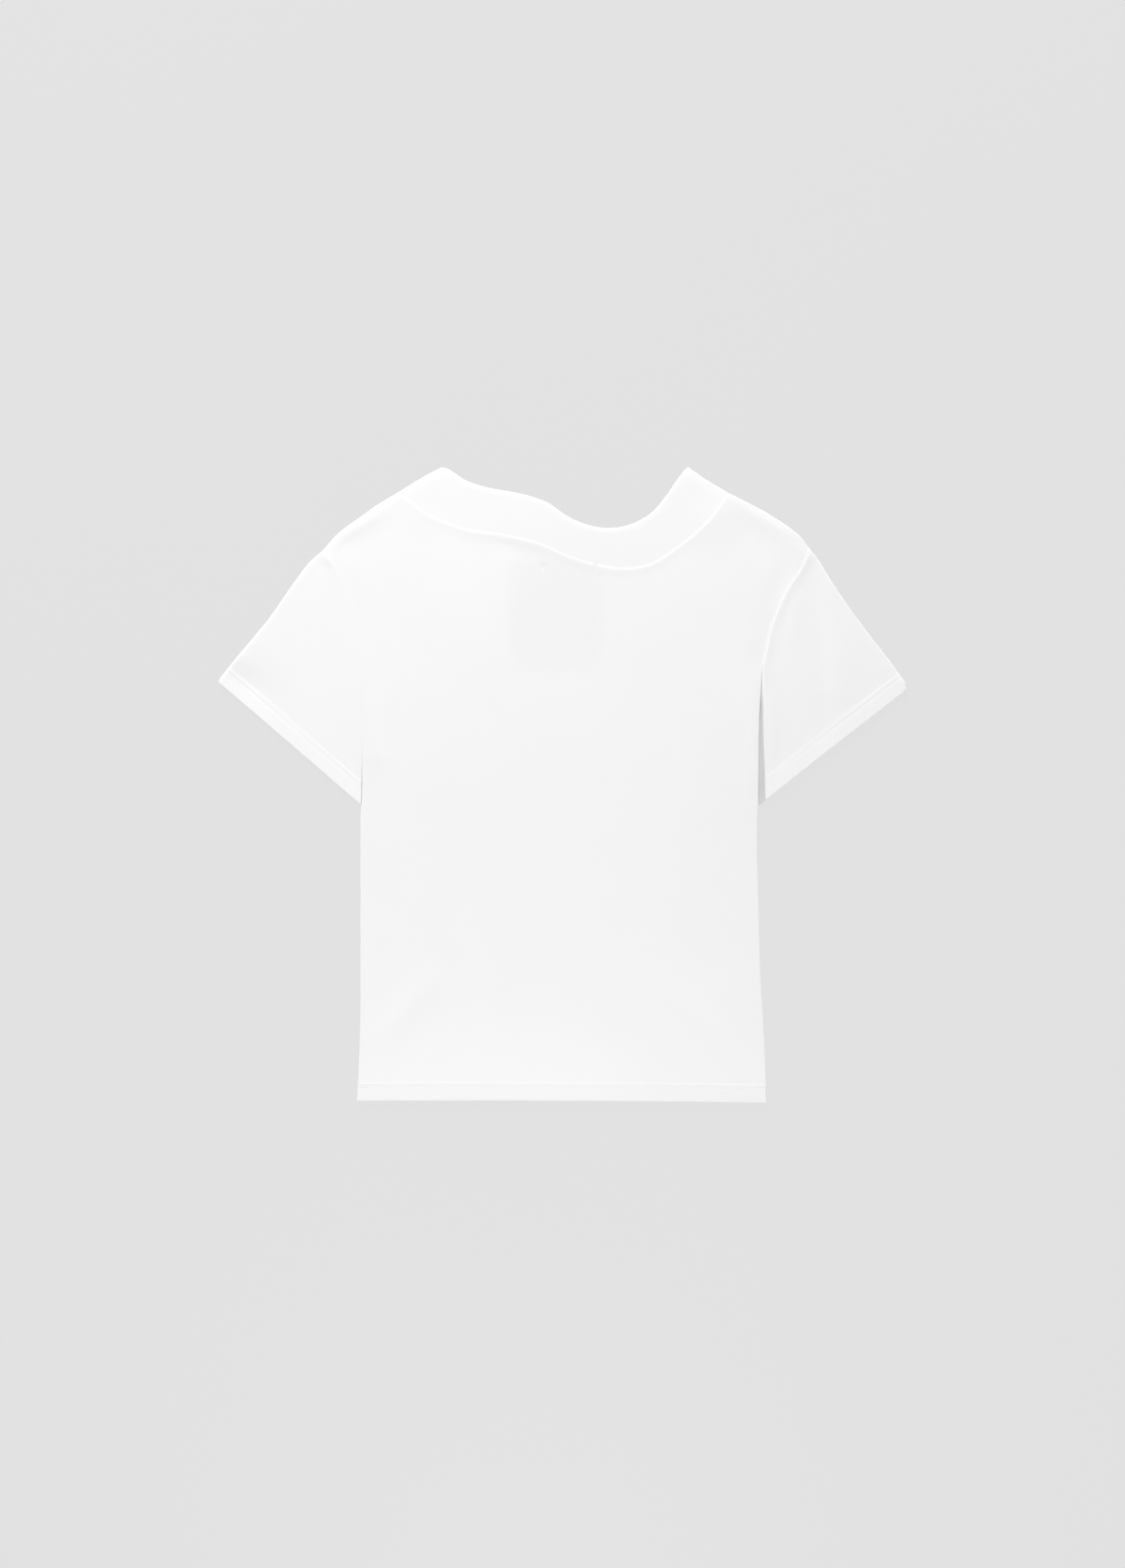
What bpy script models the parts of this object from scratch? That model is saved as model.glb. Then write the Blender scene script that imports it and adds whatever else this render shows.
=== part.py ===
# A plain short-sleeved T-shirt with a wide neckband, laid flat with its back up.
#
# The frame: +X to the wearer's right, +Y from hem to neck, +Z up from the table.
# Sizes and tables are in millimetres, and the meshes are in metres.
# Every piece is an open surface through the middle of the cloth, given its wall by Solidify.
# The upper and the lower layer meet at folded edges, half a roll in each.

import math

import bmesh
import bpy
import numpy as np

MM = 0.001

# ---- cloth and how it lies ----
CLOTH = 1.2          # wall of the jersey panels
BAND = 1.5           # wall of the neckband, the jersey folded double
GAP = 0.3            # between two pieces at a seam
LAY = 3.8            # middle of the upper layer above the table
SEAM_Z = 2.0         # height of the side, shoulder and underarm edges
ROLL = 1.6           # how far a folded edge curves back, at the wall's middle
FOLD_IN = ROLL + CLOTH / 2   # from the garment's outline to where the roll starts
HEM = 15.5           # depth of the turned hems
HEM_RISE = 1.2       # how much the hem's middle lies above the line between its corners
TIP_RUN = 9.0        # stretch of armhole that sets how the fold turns in at the shoulder tip
CREASE_LEAD = 9.0    # a crease's edge starts to lean this far above its place
CREASE_PART = 0.2    # extra parting of the layers where the crease opens them
CREASE_RUN = 24.0    # length of that parting, to each side of the underarm
LOW_CREASE = 20.0    # length over which the lower layer's edge draws in below the crease's top
END_PART = 0.15      # extra parting of the layers at the two ends of a shoulder
QUARTER_TURN = math.pi / 2

# ---- outline tables, one row for each named place ----
# The body's edge on each side: the side seam up to the underarm, then the armhole.
# place, x, y
LEFT_EDGE = (
    ("hem corner", -198.4, -303.3),
    ("hem fold", -197.2, -285.0),
    ("low hip", -195.8, -254.7),
    ("hip", -194.7, -200.0),
    ("waist", -194.7, -110.7),
    ("chest", -194.7, -33.0),
    ("sleeve end", -193.6, -14.0),
    ("underarm", -193.3, 28.8),
    ("crease top", -193.0, 80.1),
    ("armhole low", -194.2, 112.0),
    ("armhole mid", -197.6, 144.0),
    ("armhole high", -206.1, 177.3),
    ("under shoulder", -219.6, 207.7),
    ("shoulder tip", -230.4, 225.0),
)
RIGHT_EDGE = (
    ("hem corner", 195.6, -305.2),
    ("hem fold", 194.9, -285.0),
    ("low hip", 193.9, -254.7),
    ("hip", 189.9, -182.7),
    ("waist", 187.8, -110.7),
    ("chest", 186.6, -50.0),
    ("sleeve end", 187.5, -14.0),
    ("underarm", 188.0, 42.3),
    ("crease top", 191.5, 112.5),
    ("armhole low", 195.5, 132.2),
    ("armhole mid", 200.7, 153.6),
    ("armhole high", 214.0, 184.9),
    ("under shoulder", 227.5, 205.8),
    ("shoulder tip", 236.9, 225.4),
)

# The shoulder's fold, from the sleeve to the neck seam.
LEFT_SHOULDER = (
    ("tip", -230.4, 225.0),
    ("outer", -216.9, 240.3),
    ("middle", -192.6, 258.3),
    ("inner", -180.0, 267.3),
    ("neck seam", -159.3, 279.9),
)
RIGHT_SHOULDER = (
    ("tip", 236.9, 225.4),
    ("outer", 224.6, 240.3),
    ("middle", 198.9, 258.3),
    ("inner", 182.7, 267.3),
    ("neck seam", 158.9, 279.5),
)

# The neckband's own fold, from the neck seam to the point of the neckline.
LEFT_BAND_FOLD = (("seam", -159.3, 279.9), ("middle", -135.9, 294.3), ("point", -115.2, 305.3))
RIGHT_BAND_FOLD = (("seam", 158.9, 279.5), ("middle", 134.1, 294.3), ("point", 118.8, 305.3))

# The seam of the neckband, and the neckline, left to right.
BACK_SEAM = (
    ("left fold", -159.3, 279.9),
    ("left shoulder", -144.9, 269.6),
    ("left corner", -130.5, 259.2),
    ("left side", -113.4, 251.2),
    ("left rise", -93.6, 244.4),
    ("left back", -55.0, 238.6),
    ("slope", -24.3, 231.3),
    ("slope foot", 2.0, 219.6),
    ("low start", 30.2, 210.6),
    ("lowest", 62.0, 206.8),
    ("low end", 84.0, 211.4),
    ("right side", 107.0, 225.2),
    ("right rise", 133.2, 246.6),
    ("right shoulder", 147.0, 262.0),
    ("right fold", 158.9, 279.5),
)
BACK_NECKLINE = (
    ("left point", -115.2, 305.3),
    ("left turn", -106.0, 299.8),
    ("left side", -92.0, 290.8),
    ("left back", -72.9, 284.9),
    ("middle left", -36.9, 277.9),
    ("slope", -15.5, 270.4),
    ("slope foot", 4.0, 257.2),
    ("low start", 21.0, 249.6),
    ("lowest", 42.0, 245.9),
    ("low end", 64.0, 249.4),
    ("right side", 84.0, 260.4),
    ("right rise", 98.1, 276.6),
    ("right turn", 109.0, 292.2),
    ("right point", 118.8, 305.3),
)
FRONT_SEAM = (
    ("left fold", -159.3, 279.9),
    ("left shoulder", -147.0, 262.0),
    ("left side", -130.0, 233.0),
    ("left low", -98.0, 198.0),
    ("left front", -54.0, 173.0),
    ("centre", 0.0, 164.0),
    ("right front", 54.0, 173.0),
    ("right low", 98.0, 198.0),
    ("right side", 130.0, 233.0),
    ("right shoulder", 147.0, 262.0),
    ("right fold", 158.9, 279.5),
)
FRONT_NECKLINE = (
    ("left point", -115.2, 305.3),
    ("left turn", -112.0, 292.0),
    ("left side", -103.0, 262.0),
    ("left low", -80.0, 226.0),
    ("left front", -43.0, 205.0),
    ("centre", 0.0, 199.0),
    ("right front", 43.0, 205.0),
    ("right low", 80.0, 226.0),
    ("right side", 104.0, 262.0),
    ("right turn", 114.0, 292.0),
    ("right point", 118.8, 305.3),
)

# The fold along the top of each sleeve, from the shoulder tip to the cuff.
LEFT_SLEEVE = (
    ("shoulder tip", -230.4, 225.0),
    ("rounding", -243.5, 213.3),
    ("upper", -257.4, 195.3),
    ("middle", -282.6, 159.3),
    ("lower", -312.3, 123.3),
    ("cuff hem", -326.7, 105.3),
    ("cuff", -331.5, 98.6),
)
RIGHT_SLEEVE = (
    ("shoulder tip", 236.9, 225.4),
    ("rounding", 246.2, 213.3),
    ("upper", 257.0, 195.3),
    ("middle", 281.7, 159.3),
    ("lower", 309.2, 123.3),
    ("cuff hem", 322.7, 105.3),
    ("cuff", 331.4, 92.4),
)
LEFT_CUFF = (("fold", -331.5, 98.6), ("middle", -255.6, 33.3), ("body", -193.5, -20.2))
RIGHT_CUFF = (("fold", 331.4, 92.4), ("middle", 255.2, 33.3), ("body", 188.0, -19.6))

# How far the sleeve's upper layer stands back from the body in the underarm crease.
# place, y, width
LEFT_CREASE = (("top", 80.1, 0.0), ("underarm", 28.8, 1.7), ("cuff", -20.0, 1.9))
RIGHT_CREASE = (("top", 112.5, 0.0), ("middle", 81.5, 2.8), ("underarm", 42.3, 4.6), ("cuff", -20.0, 7.4))

# Soft folds of the upper layer: from x0, y0 to x1, y1, width to each side, height.
FOLDS = (
    ("hem fold, left", -128.0, -185.0, -172.0, -243.0, 15.0, 1.0),
    ("trough beside it", -108.0, -205.0, -150.0, -262.0, 15.0, -0.6),
    ("hem fold, right", 124.0, -214.0, 168.0, -270.0, 15.0, 1.0),
    ("trough beside it", 100.0, -222.0, 145.0, -276.0, 15.0, -0.6),
    ("right armhole trough, upper", 214.0, 214.0, 199.0, 177.0, 14.0, -0.5),
    ("right armhole trough, lower", 199.0, 177.0, 183.0, 118.0, 14.0, -0.6),
    ("left armhole trough", -200.0, 190.0, -180.0, 110.0, 15.0, -0.4),
    ("left body ridge", -184.0, 96.0, -184.0, 10.0, 9.0, 0.7),
    ("right sleeve ridge", 199.0, 96.0, 204.0, -4.0, 11.0, 1.1),
    ("right sleeve trough", 236.0, 205.0, 247.0, 70.0, 15.0, -0.6),
    ("right sleeve swell", 268.0, 140.0, 262.0, 70.0, 18.0, 0.5),
    ("left sleeve trough", -232.0, 190.0, -226.0, 60.0, 16.0, -0.4),
    ("left sleeve swell", -262.0, 130.0, -250.0, 60.0, 18.0, 0.5),
    ("left shoulder ridge", -205.0, 236.0, -172.0, 258.0, 12.0, 0.6),
    ("right shoulder ridge", 210.0, 236.0, 176.0, 258.0, 12.0, 0.6),
    ("upper back swell", -90.0, 150.0, 20.0, 120.0, 70.0, 0.4),
    ("right waist trough", 120.0, -20.0, 80.0, -150.0, 45.0, -0.5),
    ("lower back swell", -20.0, -200.0, 40.0, -240.0, 60.0, 0.4),
)

# ---- how finely each stretch is divided ----
QUARTER = 4          # a quarter of a rolled edge
SIDE_ROWS = 13       # hem fold to underarm
CREASE_ROWS = 4      # underarm to the top of the crease, the same as QUARTER
ARM_ROWS = 8         # armhole above the crease
SHOULDER_COLS = 5
NECK_COLS = 16
BAND_ROWS = 3
SLEEVE_STEPS = (0.0, 0.09, 0.2, 0.34, 0.49, 0.64, 0.78, 0.905, 1.0)


# ---- curves ----
def points(table):
    return np.array([row[1:3] for row in table], float)


def through(knots, values, at):
    """A smooth curve through a table's rows, without overshoot between them."""
    knots = np.asarray(knots, float)
    values = np.asarray(values, float)
    steps = np.diff(knots)
    slopes = np.diff(values) / steps
    tangents = np.empty(len(knots))
    tangents[0], tangents[-1] = slopes[0], slopes[-1]
    for i in range(1, len(knots) - 1):
        before, after = slopes[i - 1], slopes[i]
        if before * after <= 0:
            tangents[i] = 0.0
        else:
            a, b = 2 * steps[i] + steps[i - 1], steps[i] + 2 * steps[i - 1]
            tangents[i] = (a + b) / (a / before + b / after)
    i = int(np.clip(np.searchsorted(knots, at) - 1, 0, len(steps) - 1))
    h = steps[i]
    t = (at - knots[i]) / h
    return (
        (2 * t**3 - 3 * t**2 + 1) * values[i]
        + (t**3 - 2 * t**2 + t) * h * tangents[i]
        + (3 * t**2 - 2 * t**3) * values[i + 1]
        + (t**3 - t**2) * h * tangents[i + 1]
    )


class Curve:
    """A smooth plan curve through a table, followed by its own length in mm."""

    def __init__(self, table, count=240):
        places = points(table)
        chord = np.concatenate([[0], np.cumsum(np.linalg.norm(np.diff(places, axis=0), axis=1))])
        tangents = np.zeros_like(places)
        for i in range(len(places)):
            a, b = max(i - 1, 0), min(i + 1, len(places) - 1)
            tangents[i] = (places[b] - places[a]) / (chord[b] - chord[a])
        dense = []
        for s in np.linspace(0, chord[-1], count):
            i = int(np.clip(np.searchsorted(chord, s) - 1, 0, len(places) - 2))
            h = chord[i + 1] - chord[i]
            t = (s - chord[i]) / h
            dense.append(
                (2 * t**3 - 3 * t**2 + 1) * places[i]
                + (t**3 - 2 * t**2 + t) * h * tangents[i]
                + (3 * t**2 - 2 * t**3) * places[i + 1]
                + (t**3 - t**2) * h * tangents[i + 1]
            )
        self.dense = np.array(dense)
        self.along = np.concatenate([[0], np.cumsum(np.linalg.norm(np.diff(self.dense, axis=0), axis=1))])
        self.length = self.along[-1]

    def at(self, s):
        return np.array([np.interp(s, self.along, self.dense[:, k]) for k in (0, 1)])

    def direction(self, s):
        step = self.at(min(s + 1.5, self.length)) - self.at(max(s - 1.5, 0.0))
        return step / np.linalg.norm(step)


def unit(vector):
    return vector / np.linalg.norm(vector)


def fractions(row):
    """How far along a row of points each one is, from 0 to 1."""
    steps = np.concatenate([[0], np.cumsum(np.linalg.norm(np.diff(row, axis=0), axis=1))])
    return steps / steps[-1]


def patch(bottom, top, left, right):
    """A four-sided plan patch between its edges; rows run bottom to top."""
    u = (fractions(bottom) + fractions(top))[None, :, None] / 2
    v = (fractions(left) + fractions(right))[:, None, None] / 2
    corners = (
        (1 - u) * (1 - v) * bottom[0] + u * (1 - v) * bottom[-1] + (1 - u) * v * top[0] + u * v * top[-1]
    )
    return (
        (1 - v) * bottom[None] + v * top[None] + (1 - u) * left[:, None] + u * right[:, None] - corners
    )


# ---- heights ----
def lay(x, y):
    """Middle of the upper layer at a place of the plan."""
    z = LAY
    for _, x0, y0, x1, y1, width, height in FOLDS:
        dx, dy = x1 - x0, y1 - y0
        t = min(1.0, max(0.0, ((x - x0) * dx + (y - y0) * dy) / (dx * dx + dy * dy)))
        d2 = (x - x0 - t * dx) ** 2 + (y - y0 - t * dy) ** 2
        z += height * math.exp(-d2 / width**2)
    return z


def bend(turn, s):
    """A strip bent through an angle: share of its reach and of its drop, at s of its length."""
    if turn < 1e-3:
        return s, s * s
    return math.sin(turn * s) / math.sin(turn), (1 - math.cos(turn * s)) / (1 - math.cos(turn))


def reach(turn):
    """Plan width of an edge strip when it is bent through an angle."""
    return ROLL * QUARTER_TURN * (math.sin(turn) / turn if turn > 1e-3 else 1.0)


def drop_share(turn):
    """Share of a whole roll's drop that a strip makes when it is bent through an angle."""
    return QUARTER_TURN * (1 - math.cos(turn)) / turn if turn > 1e-3 else 0.0


# ---- the two sides of the body ----
class Side:
    """One side: the body's edge, its armhole, the sleeve's fold, its cuff and the crease."""

    def __init__(self, sign, edge, shoulder, sleeve, cuff, crease, band_fold):
        self.sign = sign
        self.knots = np.array([row[2] for row in edge], float)
        self.places = np.array([row[1] for row in edge], float)
        named = {row[0]: row for row in edge}
        self.hem_y = named["hem corner"][2]
        self.underarm = named["underarm"][2]
        self.crease_top = named["crease top"][2]
        self.tip = np.array(named["shoulder tip"][1:3], float)
        self.shoulder = Curve(shoulder)
        self.sleeve = Curve(sleeve)
        self.cuff = Curve(cuff)
        self.crease = crease
        self.band_fold = Curve(band_fold)
        # the fold at the tip runs back along the armhole
        below = self.tip[1] - TIP_RUN
        self.tip_in = unit(np.array([self.x(below), below]) - self.tip)
        self.tip_reach = FOLD_IN * 1.2

    def x(self, y):
        return float(through(self.knots, self.places, y))

    def inward(self, y):
        """Direction into the body, square to its edge."""
        slope = (self.x(y + 1.0) - self.x(y - 1.0)) / 2.0
        return unit(np.array([-self.sign, self.sign * slope]))

    def turn(self, y):
        """How far the edge is turned down: a quarter turn at the side, none on the armhole."""
        share = (self.crease_top - y) / (self.crease_top - self.underarm)
        return QUARTER_TURN * min(1.0, max(0.0, share))

    def lean(self, y):
        """How far a wall that is turned down leans out past its middle."""
        return CLOTH / 2 * math.sin(self.turn(y - CREASE_LEAD))

    def parting(self, y):
        """Half the gap between the layers at the edge, wider where the crease opens it."""
        return GAP / 2 + CREASE_PART * max(0.0, 1 - abs(y - self.underarm) / CREASE_RUN)

    def rows(self):
        """Heights of the body's rows on this side, hem to shoulder."""
        low = [self.hem_y, self.hem_y + HEM]
        low += list(np.linspace(low[-1], self.underarm, SIDE_ROWS + 1)[1:])
        low += list(np.linspace(self.underarm, self.crease_top, CREASE_ROWS + 1)[1:])
        top = (self.tip + self.tip_in * self.tip_reach)[1]
        low += list(np.linspace(self.crease_top, top, ARM_ROWS + 1)[1:])
        return low


LEFT = Side(-1, LEFT_EDGE, LEFT_SHOULDER, LEFT_SLEEVE, LEFT_CUFF, LEFT_CREASE, LEFT_BAND_FOLD)
RIGHT = Side(1, RIGHT_EDGE, RIGHT_SHOULDER, RIGHT_SLEEVE, RIGHT_CUFF, RIGHT_CREASE, RIGHT_BAND_FOLD)


class Neck:
    """The neckband's seam and the neckline of one layer."""

    def __init__(self, seam, line):
        self.seam = Curve(seam)
        self.line = Curve(line)
        n = NECK_COLS
        self.start = []
        for side, at_end in ((LEFT, False), (RIGHT, True)):
            for curve, s_fold in ((self.seam, 0.0), (self.line, side.band_fold.length)):
                s = curve.length if at_end else 0.0
                inward = curve.direction(s) * (-1 if at_end else 1)
                along = side.band_fold.direction(s_fold)
                square = abs(along[0] * inward[1] - along[1] * inward[0])
                self.start.append(FOLD_IN / max(square, 0.6))
        seam_a, line_a, seam_b, line_b = self.start
        self.seam_s = np.linspace(seam_a, self.seam.length - seam_b, n + 1)
        self.line_s = np.linspace(line_a, self.line.length - line_b, n + 1)

    def seam_points(self, offset):
        """Points of the seam, moved off it towards the neckline."""
        out = []
        for s in self.seam_s:
            d = self.seam.direction(s)
            out.append(self.seam.at(s) + offset * np.array([-d[1], d[0]]))
        return np.array(out)

    def line_points(self):
        return np.array([self.line.at(s) for s in self.line_s])


BACK_NECK = Neck(BACK_SEAM, BACK_NECKLINE)
FRONT_NECK = Neck(FRONT_SEAM, FRONT_NECKLINE)


# ---- meshes ----
def new_object(name, colour, wall, grid, faces, collection):
    """A mesh from named grid points and the faces between them, given its wall."""
    mesh = bpy.data.meshes.new(name)
    work = bmesh.new()
    made = {}
    for face in faces:
        corners = []
        for key in face:
            if key not in made:
                made[key] = work.verts.new([float(c) * MM for c in grid[key]])
            corners.append(made[key])
        work.faces.new(corners)
    bmesh.ops.recalc_face_normals(work, faces=work.faces[:])
    work.to_mesh(mesh)
    work.free()
    mesh.shade_smooth()
    obj = bpy.data.objects.new(name, mesh)
    collection.objects.link(obj)
    solid = obj.modifiers.new("wall", "SOLIDIFY")
    solid.thickness = wall * MM
    solid.offset = 0.0
    solid.use_even_offset = True
    solid.use_quality_normals = True
    material = bpy.data.materials.new(name + "_jersey")
    material.use_nodes = True
    shader = material.node_tree.nodes["Principled BSDF"]
    shader.inputs["Base Color"].default_value = (*colour, 1.0)
    shader.inputs["Roughness"].default_value = 0.9
    shader.inputs["Metallic"].default_value = 0.0
    mesh.materials.append(material)
    return obj


def panel(upper, neck):
    """Grid of the back or the front panel: hem to neck, side to side, with its rolled edges."""
    q = QUARTER
    left_rows, right_rows = LEFT.rows(), RIGHT.rows()
    count = len(left_rows)
    wall_mid = CLOTH / 2
    cols = 2 * SHOULDER_COLS + NECK_COLS
    grid = {}

    def height(p):
        return lay(*p) if upper else wall_mid

    def edge_z(z, half=GAP / 2):
        return z - (SEAM_Z + half) if upper else z - (SEAM_Z - half)

    # the inset line inside each rolled or seamed edge
    def inset(side, y):
        turn = side.turn(y)
        edge = np.array([side.x(y), y])
        return edge + side.inward(y) * (side.lean(y) + reach(turn))

    left = np.array([inset(LEFT, y) for y in left_rows])
    right = np.array([inset(RIGHT, y) for y in right_rows])
    # the top edge: shoulder, neck seam, shoulder
    top_edge, top_in, top_part = {}, {}, {}
    seam = neck.seam_points(0.0)
    for side, order in ((LEFT, 1), (RIGHT, -1)):
        curve = side.shoulder
        strip = reach(0.0)
        stops = list(np.linspace(0.0, strip, q + 1)) + list(
            np.linspace(strip, curve.length, SHOULDER_COLS + 1)[1:]
        )
        neck_end = seam[0] if side is LEFT else seam[-1]
        fold_end = curve.at(curve.length)
        end_in = unit(neck_end - fold_end)
        end_reach = np.linalg.norm(neck_end - fold_end)
        for k, s in enumerate(stops):
            t = s / curve.length
            out = curve.at(s)
            along = curve.direction(s)
            normal = np.array([-along[1], along[0]])
            if normal @ side.tip_in < 0:
                normal = -normal
            # square to the fold in the middle, along the seams at both ends
            a, b = max(0.0, 1 - t * 3.0), max(0.0, 1 - (1 - t) * 3.0)
            way = normal * (1 - a - b) * FOLD_IN + side.tip_in * side.tip_reach * a + end_in * end_reach * b
            wall = unit(normal) * wall_mid
            place = k if order == 1 else cols + 2 * q - k
            top_edge[place] = out + wall
            top_part[place] = GAP / 2 + END_PART * max(0.0, 1 - 4 * t, 4 * t - 3)
            top_in[place] = out + way
    for k in range(1, NECK_COLS):
        top_in[q + SHOULDER_COLS + k] = seam[k]
    inner_top = np.array([top_in[c] for c in range(q, q + cols + 1)])
    left[-1], right[-1] = inner_top[0], inner_top[-1]
    # the hem's own line
    u = np.linspace(0, 1, cols + 1)
    hem = [left[0] * (1 - t) + right[0] * t + (0.0, HEM_RISE * math.sin(math.pi * t)) for t in u]
    plan = patch(np.array(hem), inner_top, left, right)
    for r in range(count):
        for c in range(cols + 1):
            p = plan[r, c]
            grid[r, c + q] = (p[0], p[1], height(p))
    # the strips at the two sides
    for side, rows, order in ((LEFT, left_rows, 1), (RIGHT, right_rows, -1)):
        for r, y in enumerate(rows):
            inner = plan[r, 0] if order == 1 else plan[r, -1]
            z = height(inner)
            turn = side.turn(y)
            if r == count - 1:
                for k in range(q):
                    place = k if order == 1 else cols + 2 * q - k
                    p = top_in[place]
                    grid[r, place] = (p[0], p[1], height(p))
                continue
            edge = np.array([side.x(y), y]) + side.inward(y) * side.lean(y)
            drop = edge_z(z, side.parting(y)) * drop_share(turn)
            for k in range(q):
                sx, sz = bend(turn, 1 - k / q)
                p = inner + (edge - inner) * sx
                place = k if order == 1 else cols + 2 * q - k
                grid[r, place] = (p[0], p[1], z - drop * sz)
    # the strips along the shoulders
    shoulder_cols = set(range(q + SHOULDER_COLS)) | set(range(q + SHOULDER_COLS + NECK_COLS, cols + 2 * q))
    for c in sorted(shoulder_cols | {c + 1 for c in shoulder_cols}):
        inner, out = top_in[c], top_edge[c]
        z = grid[count - 1, c][2]
        for k in range(1, q + 1):
            sx, sz = bend(QUARTER_TURN, k / q)
            p = inner + (out - inner) * sx
            grid[count - 1 + k, c] = (p[0], p[1], z - edge_z(z, top_part[c]) * sz)
    faces = [
        ((r, c), (r, c + 1), (r + 1, c + 1), (r + 1, c))
        for r in range(count - 1)
        for c in range(cols + 2 * q)
    ]
    faces += [
        ((r, c), (r, c + 1), (r + 1, c + 1), (r + 1, c))
        for r in range(count - 1, count - 1 + q)
        for c in shoulder_cols
    ]
    return grid, faces


def sleeve(side):
    """Rings of a sleeve from armhole to cuff: over the arm, round the underarm and back below."""
    q, n = QUARTER, ARM_ROWS
    wall_mid = CLOTH / 2
    steps = np.array(SLEEVE_STEPS)
    m = len(steps) - 1
    rows = side.rows()
    arm = rows[-(n + 1):][::-1]            # shoulder down to the top of the crease
    crease = np.linspace(side.crease_top, side.underarm, q + 1)
    out_dir = lambda y: -side.inward(y)
    widths = ([row[1] for row in side.crease][::-1], [row[2] for row in side.crease][::-1])
    grid = {}

    def stand_off(y, upper):
        if upper:
            return float(through(*widths, max(y, widths[0][0])))
        return ROLL * min(1.0, max(0.0, (side.crease_top - y) / LOW_CREASE))

    def base(y):
        """Where the cloth's middle meets the body's edge, across the seam's gap."""
        return side.x(y) + side.sign * (GAP + side.lean(y))

    def cuff_y(x):
        curve = side.cuff.dense
        order = np.argsort(curve[:, 0])
        return float(np.interp(x, curve[order, 0], curve[order, 1]))

    tip_out = side.sleeve.at(0.0) + unit(side.sleeve.direction(0.0)) * GAP
    for upper in (True, False):
        def height(p):
            return lay(*p) if upper else wall_mid

        # plan edges of this layer
        armhole = np.array([np.array([side.x(y), y]) + out_dir(y) * GAP for y in arm])
        armhole[0] = tip_out + side.tip_in * side.tip_reach
        outer, out_edge = [], []
        for v in steps:
            s = v * side.sleeve.length
            along = side.sleeve.direction(s)
            normal = np.array([-along[1], along[0]])
            if normal @ side.tip_in < 0:
                normal = -normal
            cuff_in = unit(side.cuff.at(6.0) - side.cuff.at(0.0))
            a, b = max(0.0, 1 - v * 6.0), max(0.0, 1 - (1 - v) * 6.0)
            way = normal * FOLD_IN * (1 - a - b) + side.tip_in * side.tip_reach * a + cuff_in * FOLD_IN * b
            out = side.sleeve.at(s) if v > 0 else tip_out
            out_edge.append(out + normal * wall_mid)
            outer.append(out + way)
        outer[0] = armhole[0]
        # the inner edge: rows of the strip between the ridge and the body's edge
        ends = []
        crease_foot = side.cuff.dense[-1][1]
        for k in range(q + 1):
            y = crease_foot
            for _ in range(8):
                x = base(y) + side.sign * stand_off(y, upper) * (1 - bend(QUARTER_TURN, k / q)[0])
                y = cuff_y(x)
            ends.append(y)
        strip = {}
        for j, v in enumerate(steps):
            for k in range(q + 1):
                y = crease[k] + (ends[k] - crease[k]) * v
                turn = side.turn(y)
                share = turn / QUARTER_TURN
                t = 1.0 if j == 0 else min(1.0, (k / q) / share)
                rx, rz = bend(turn, t)
                x = base(y) + side.sign * stand_off(y, upper) * (1 - rx)
                ridge = np.array([base(y) + side.sign * stand_off(y, upper), y])
                z0 = height(ridge)
                z = z0 - (z0 - SEAM_Z) * drop_share(turn) * rz
                strip[j, k] = (x, y, z)
        inner = np.array([strip[j, 0][:2] for j in range(m + 1)])
        inner[0] = armhole[-1]
        # cuff edge between the two folds
        start, stop = outer[-1], inner[-1]
        cuff = []
        for t in np.linspace(0, 1, n + 1):
            x = start[0] + (stop[0] - start[0]) * t
            cuff.append([x, cuff_y(x)])
        cuff = np.array(cuff)
        cuff[0], cuff[-1] = start, stop
        plan = patch(armhole, cuff, np.array(outer), inner)
        for j in range(m + 1):
            for i in range(n + 1):
                p = plan[j, i]
                grid[j, upper, i] = (p[0], p[1], height(p))
            for k in range(1, q + 1):
                grid[j, upper, n + k] = strip[j, k]
            z = height(plan[j, 0])
            for k in range(1, q + 1):
                sx, sz = bend(QUARTER_TURN, k / q)
                p = plan[j, 0] + (out_edge[j] - plan[j, 0]) * sx
                grid[j, upper, -k] = (p[0], p[1], z - (z - SEAM_Z) * sz)
    # one ring, upper layer out to the underarm and back below to the fold
    ring = [(True, i) for i in range(-q, n + q + 1)] + [(False, i) for i in range(n + q - 1, -q, -1)]
    faces = []
    for j in range(m):
        for a in range(len(ring)):
            b = (a + 1) % len(ring)
            faces.append(((j, *ring[a]), (j, *ring[b]), (j + 1, *ring[b]), (j + 1, *ring[a])))
    return grid, faces


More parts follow.
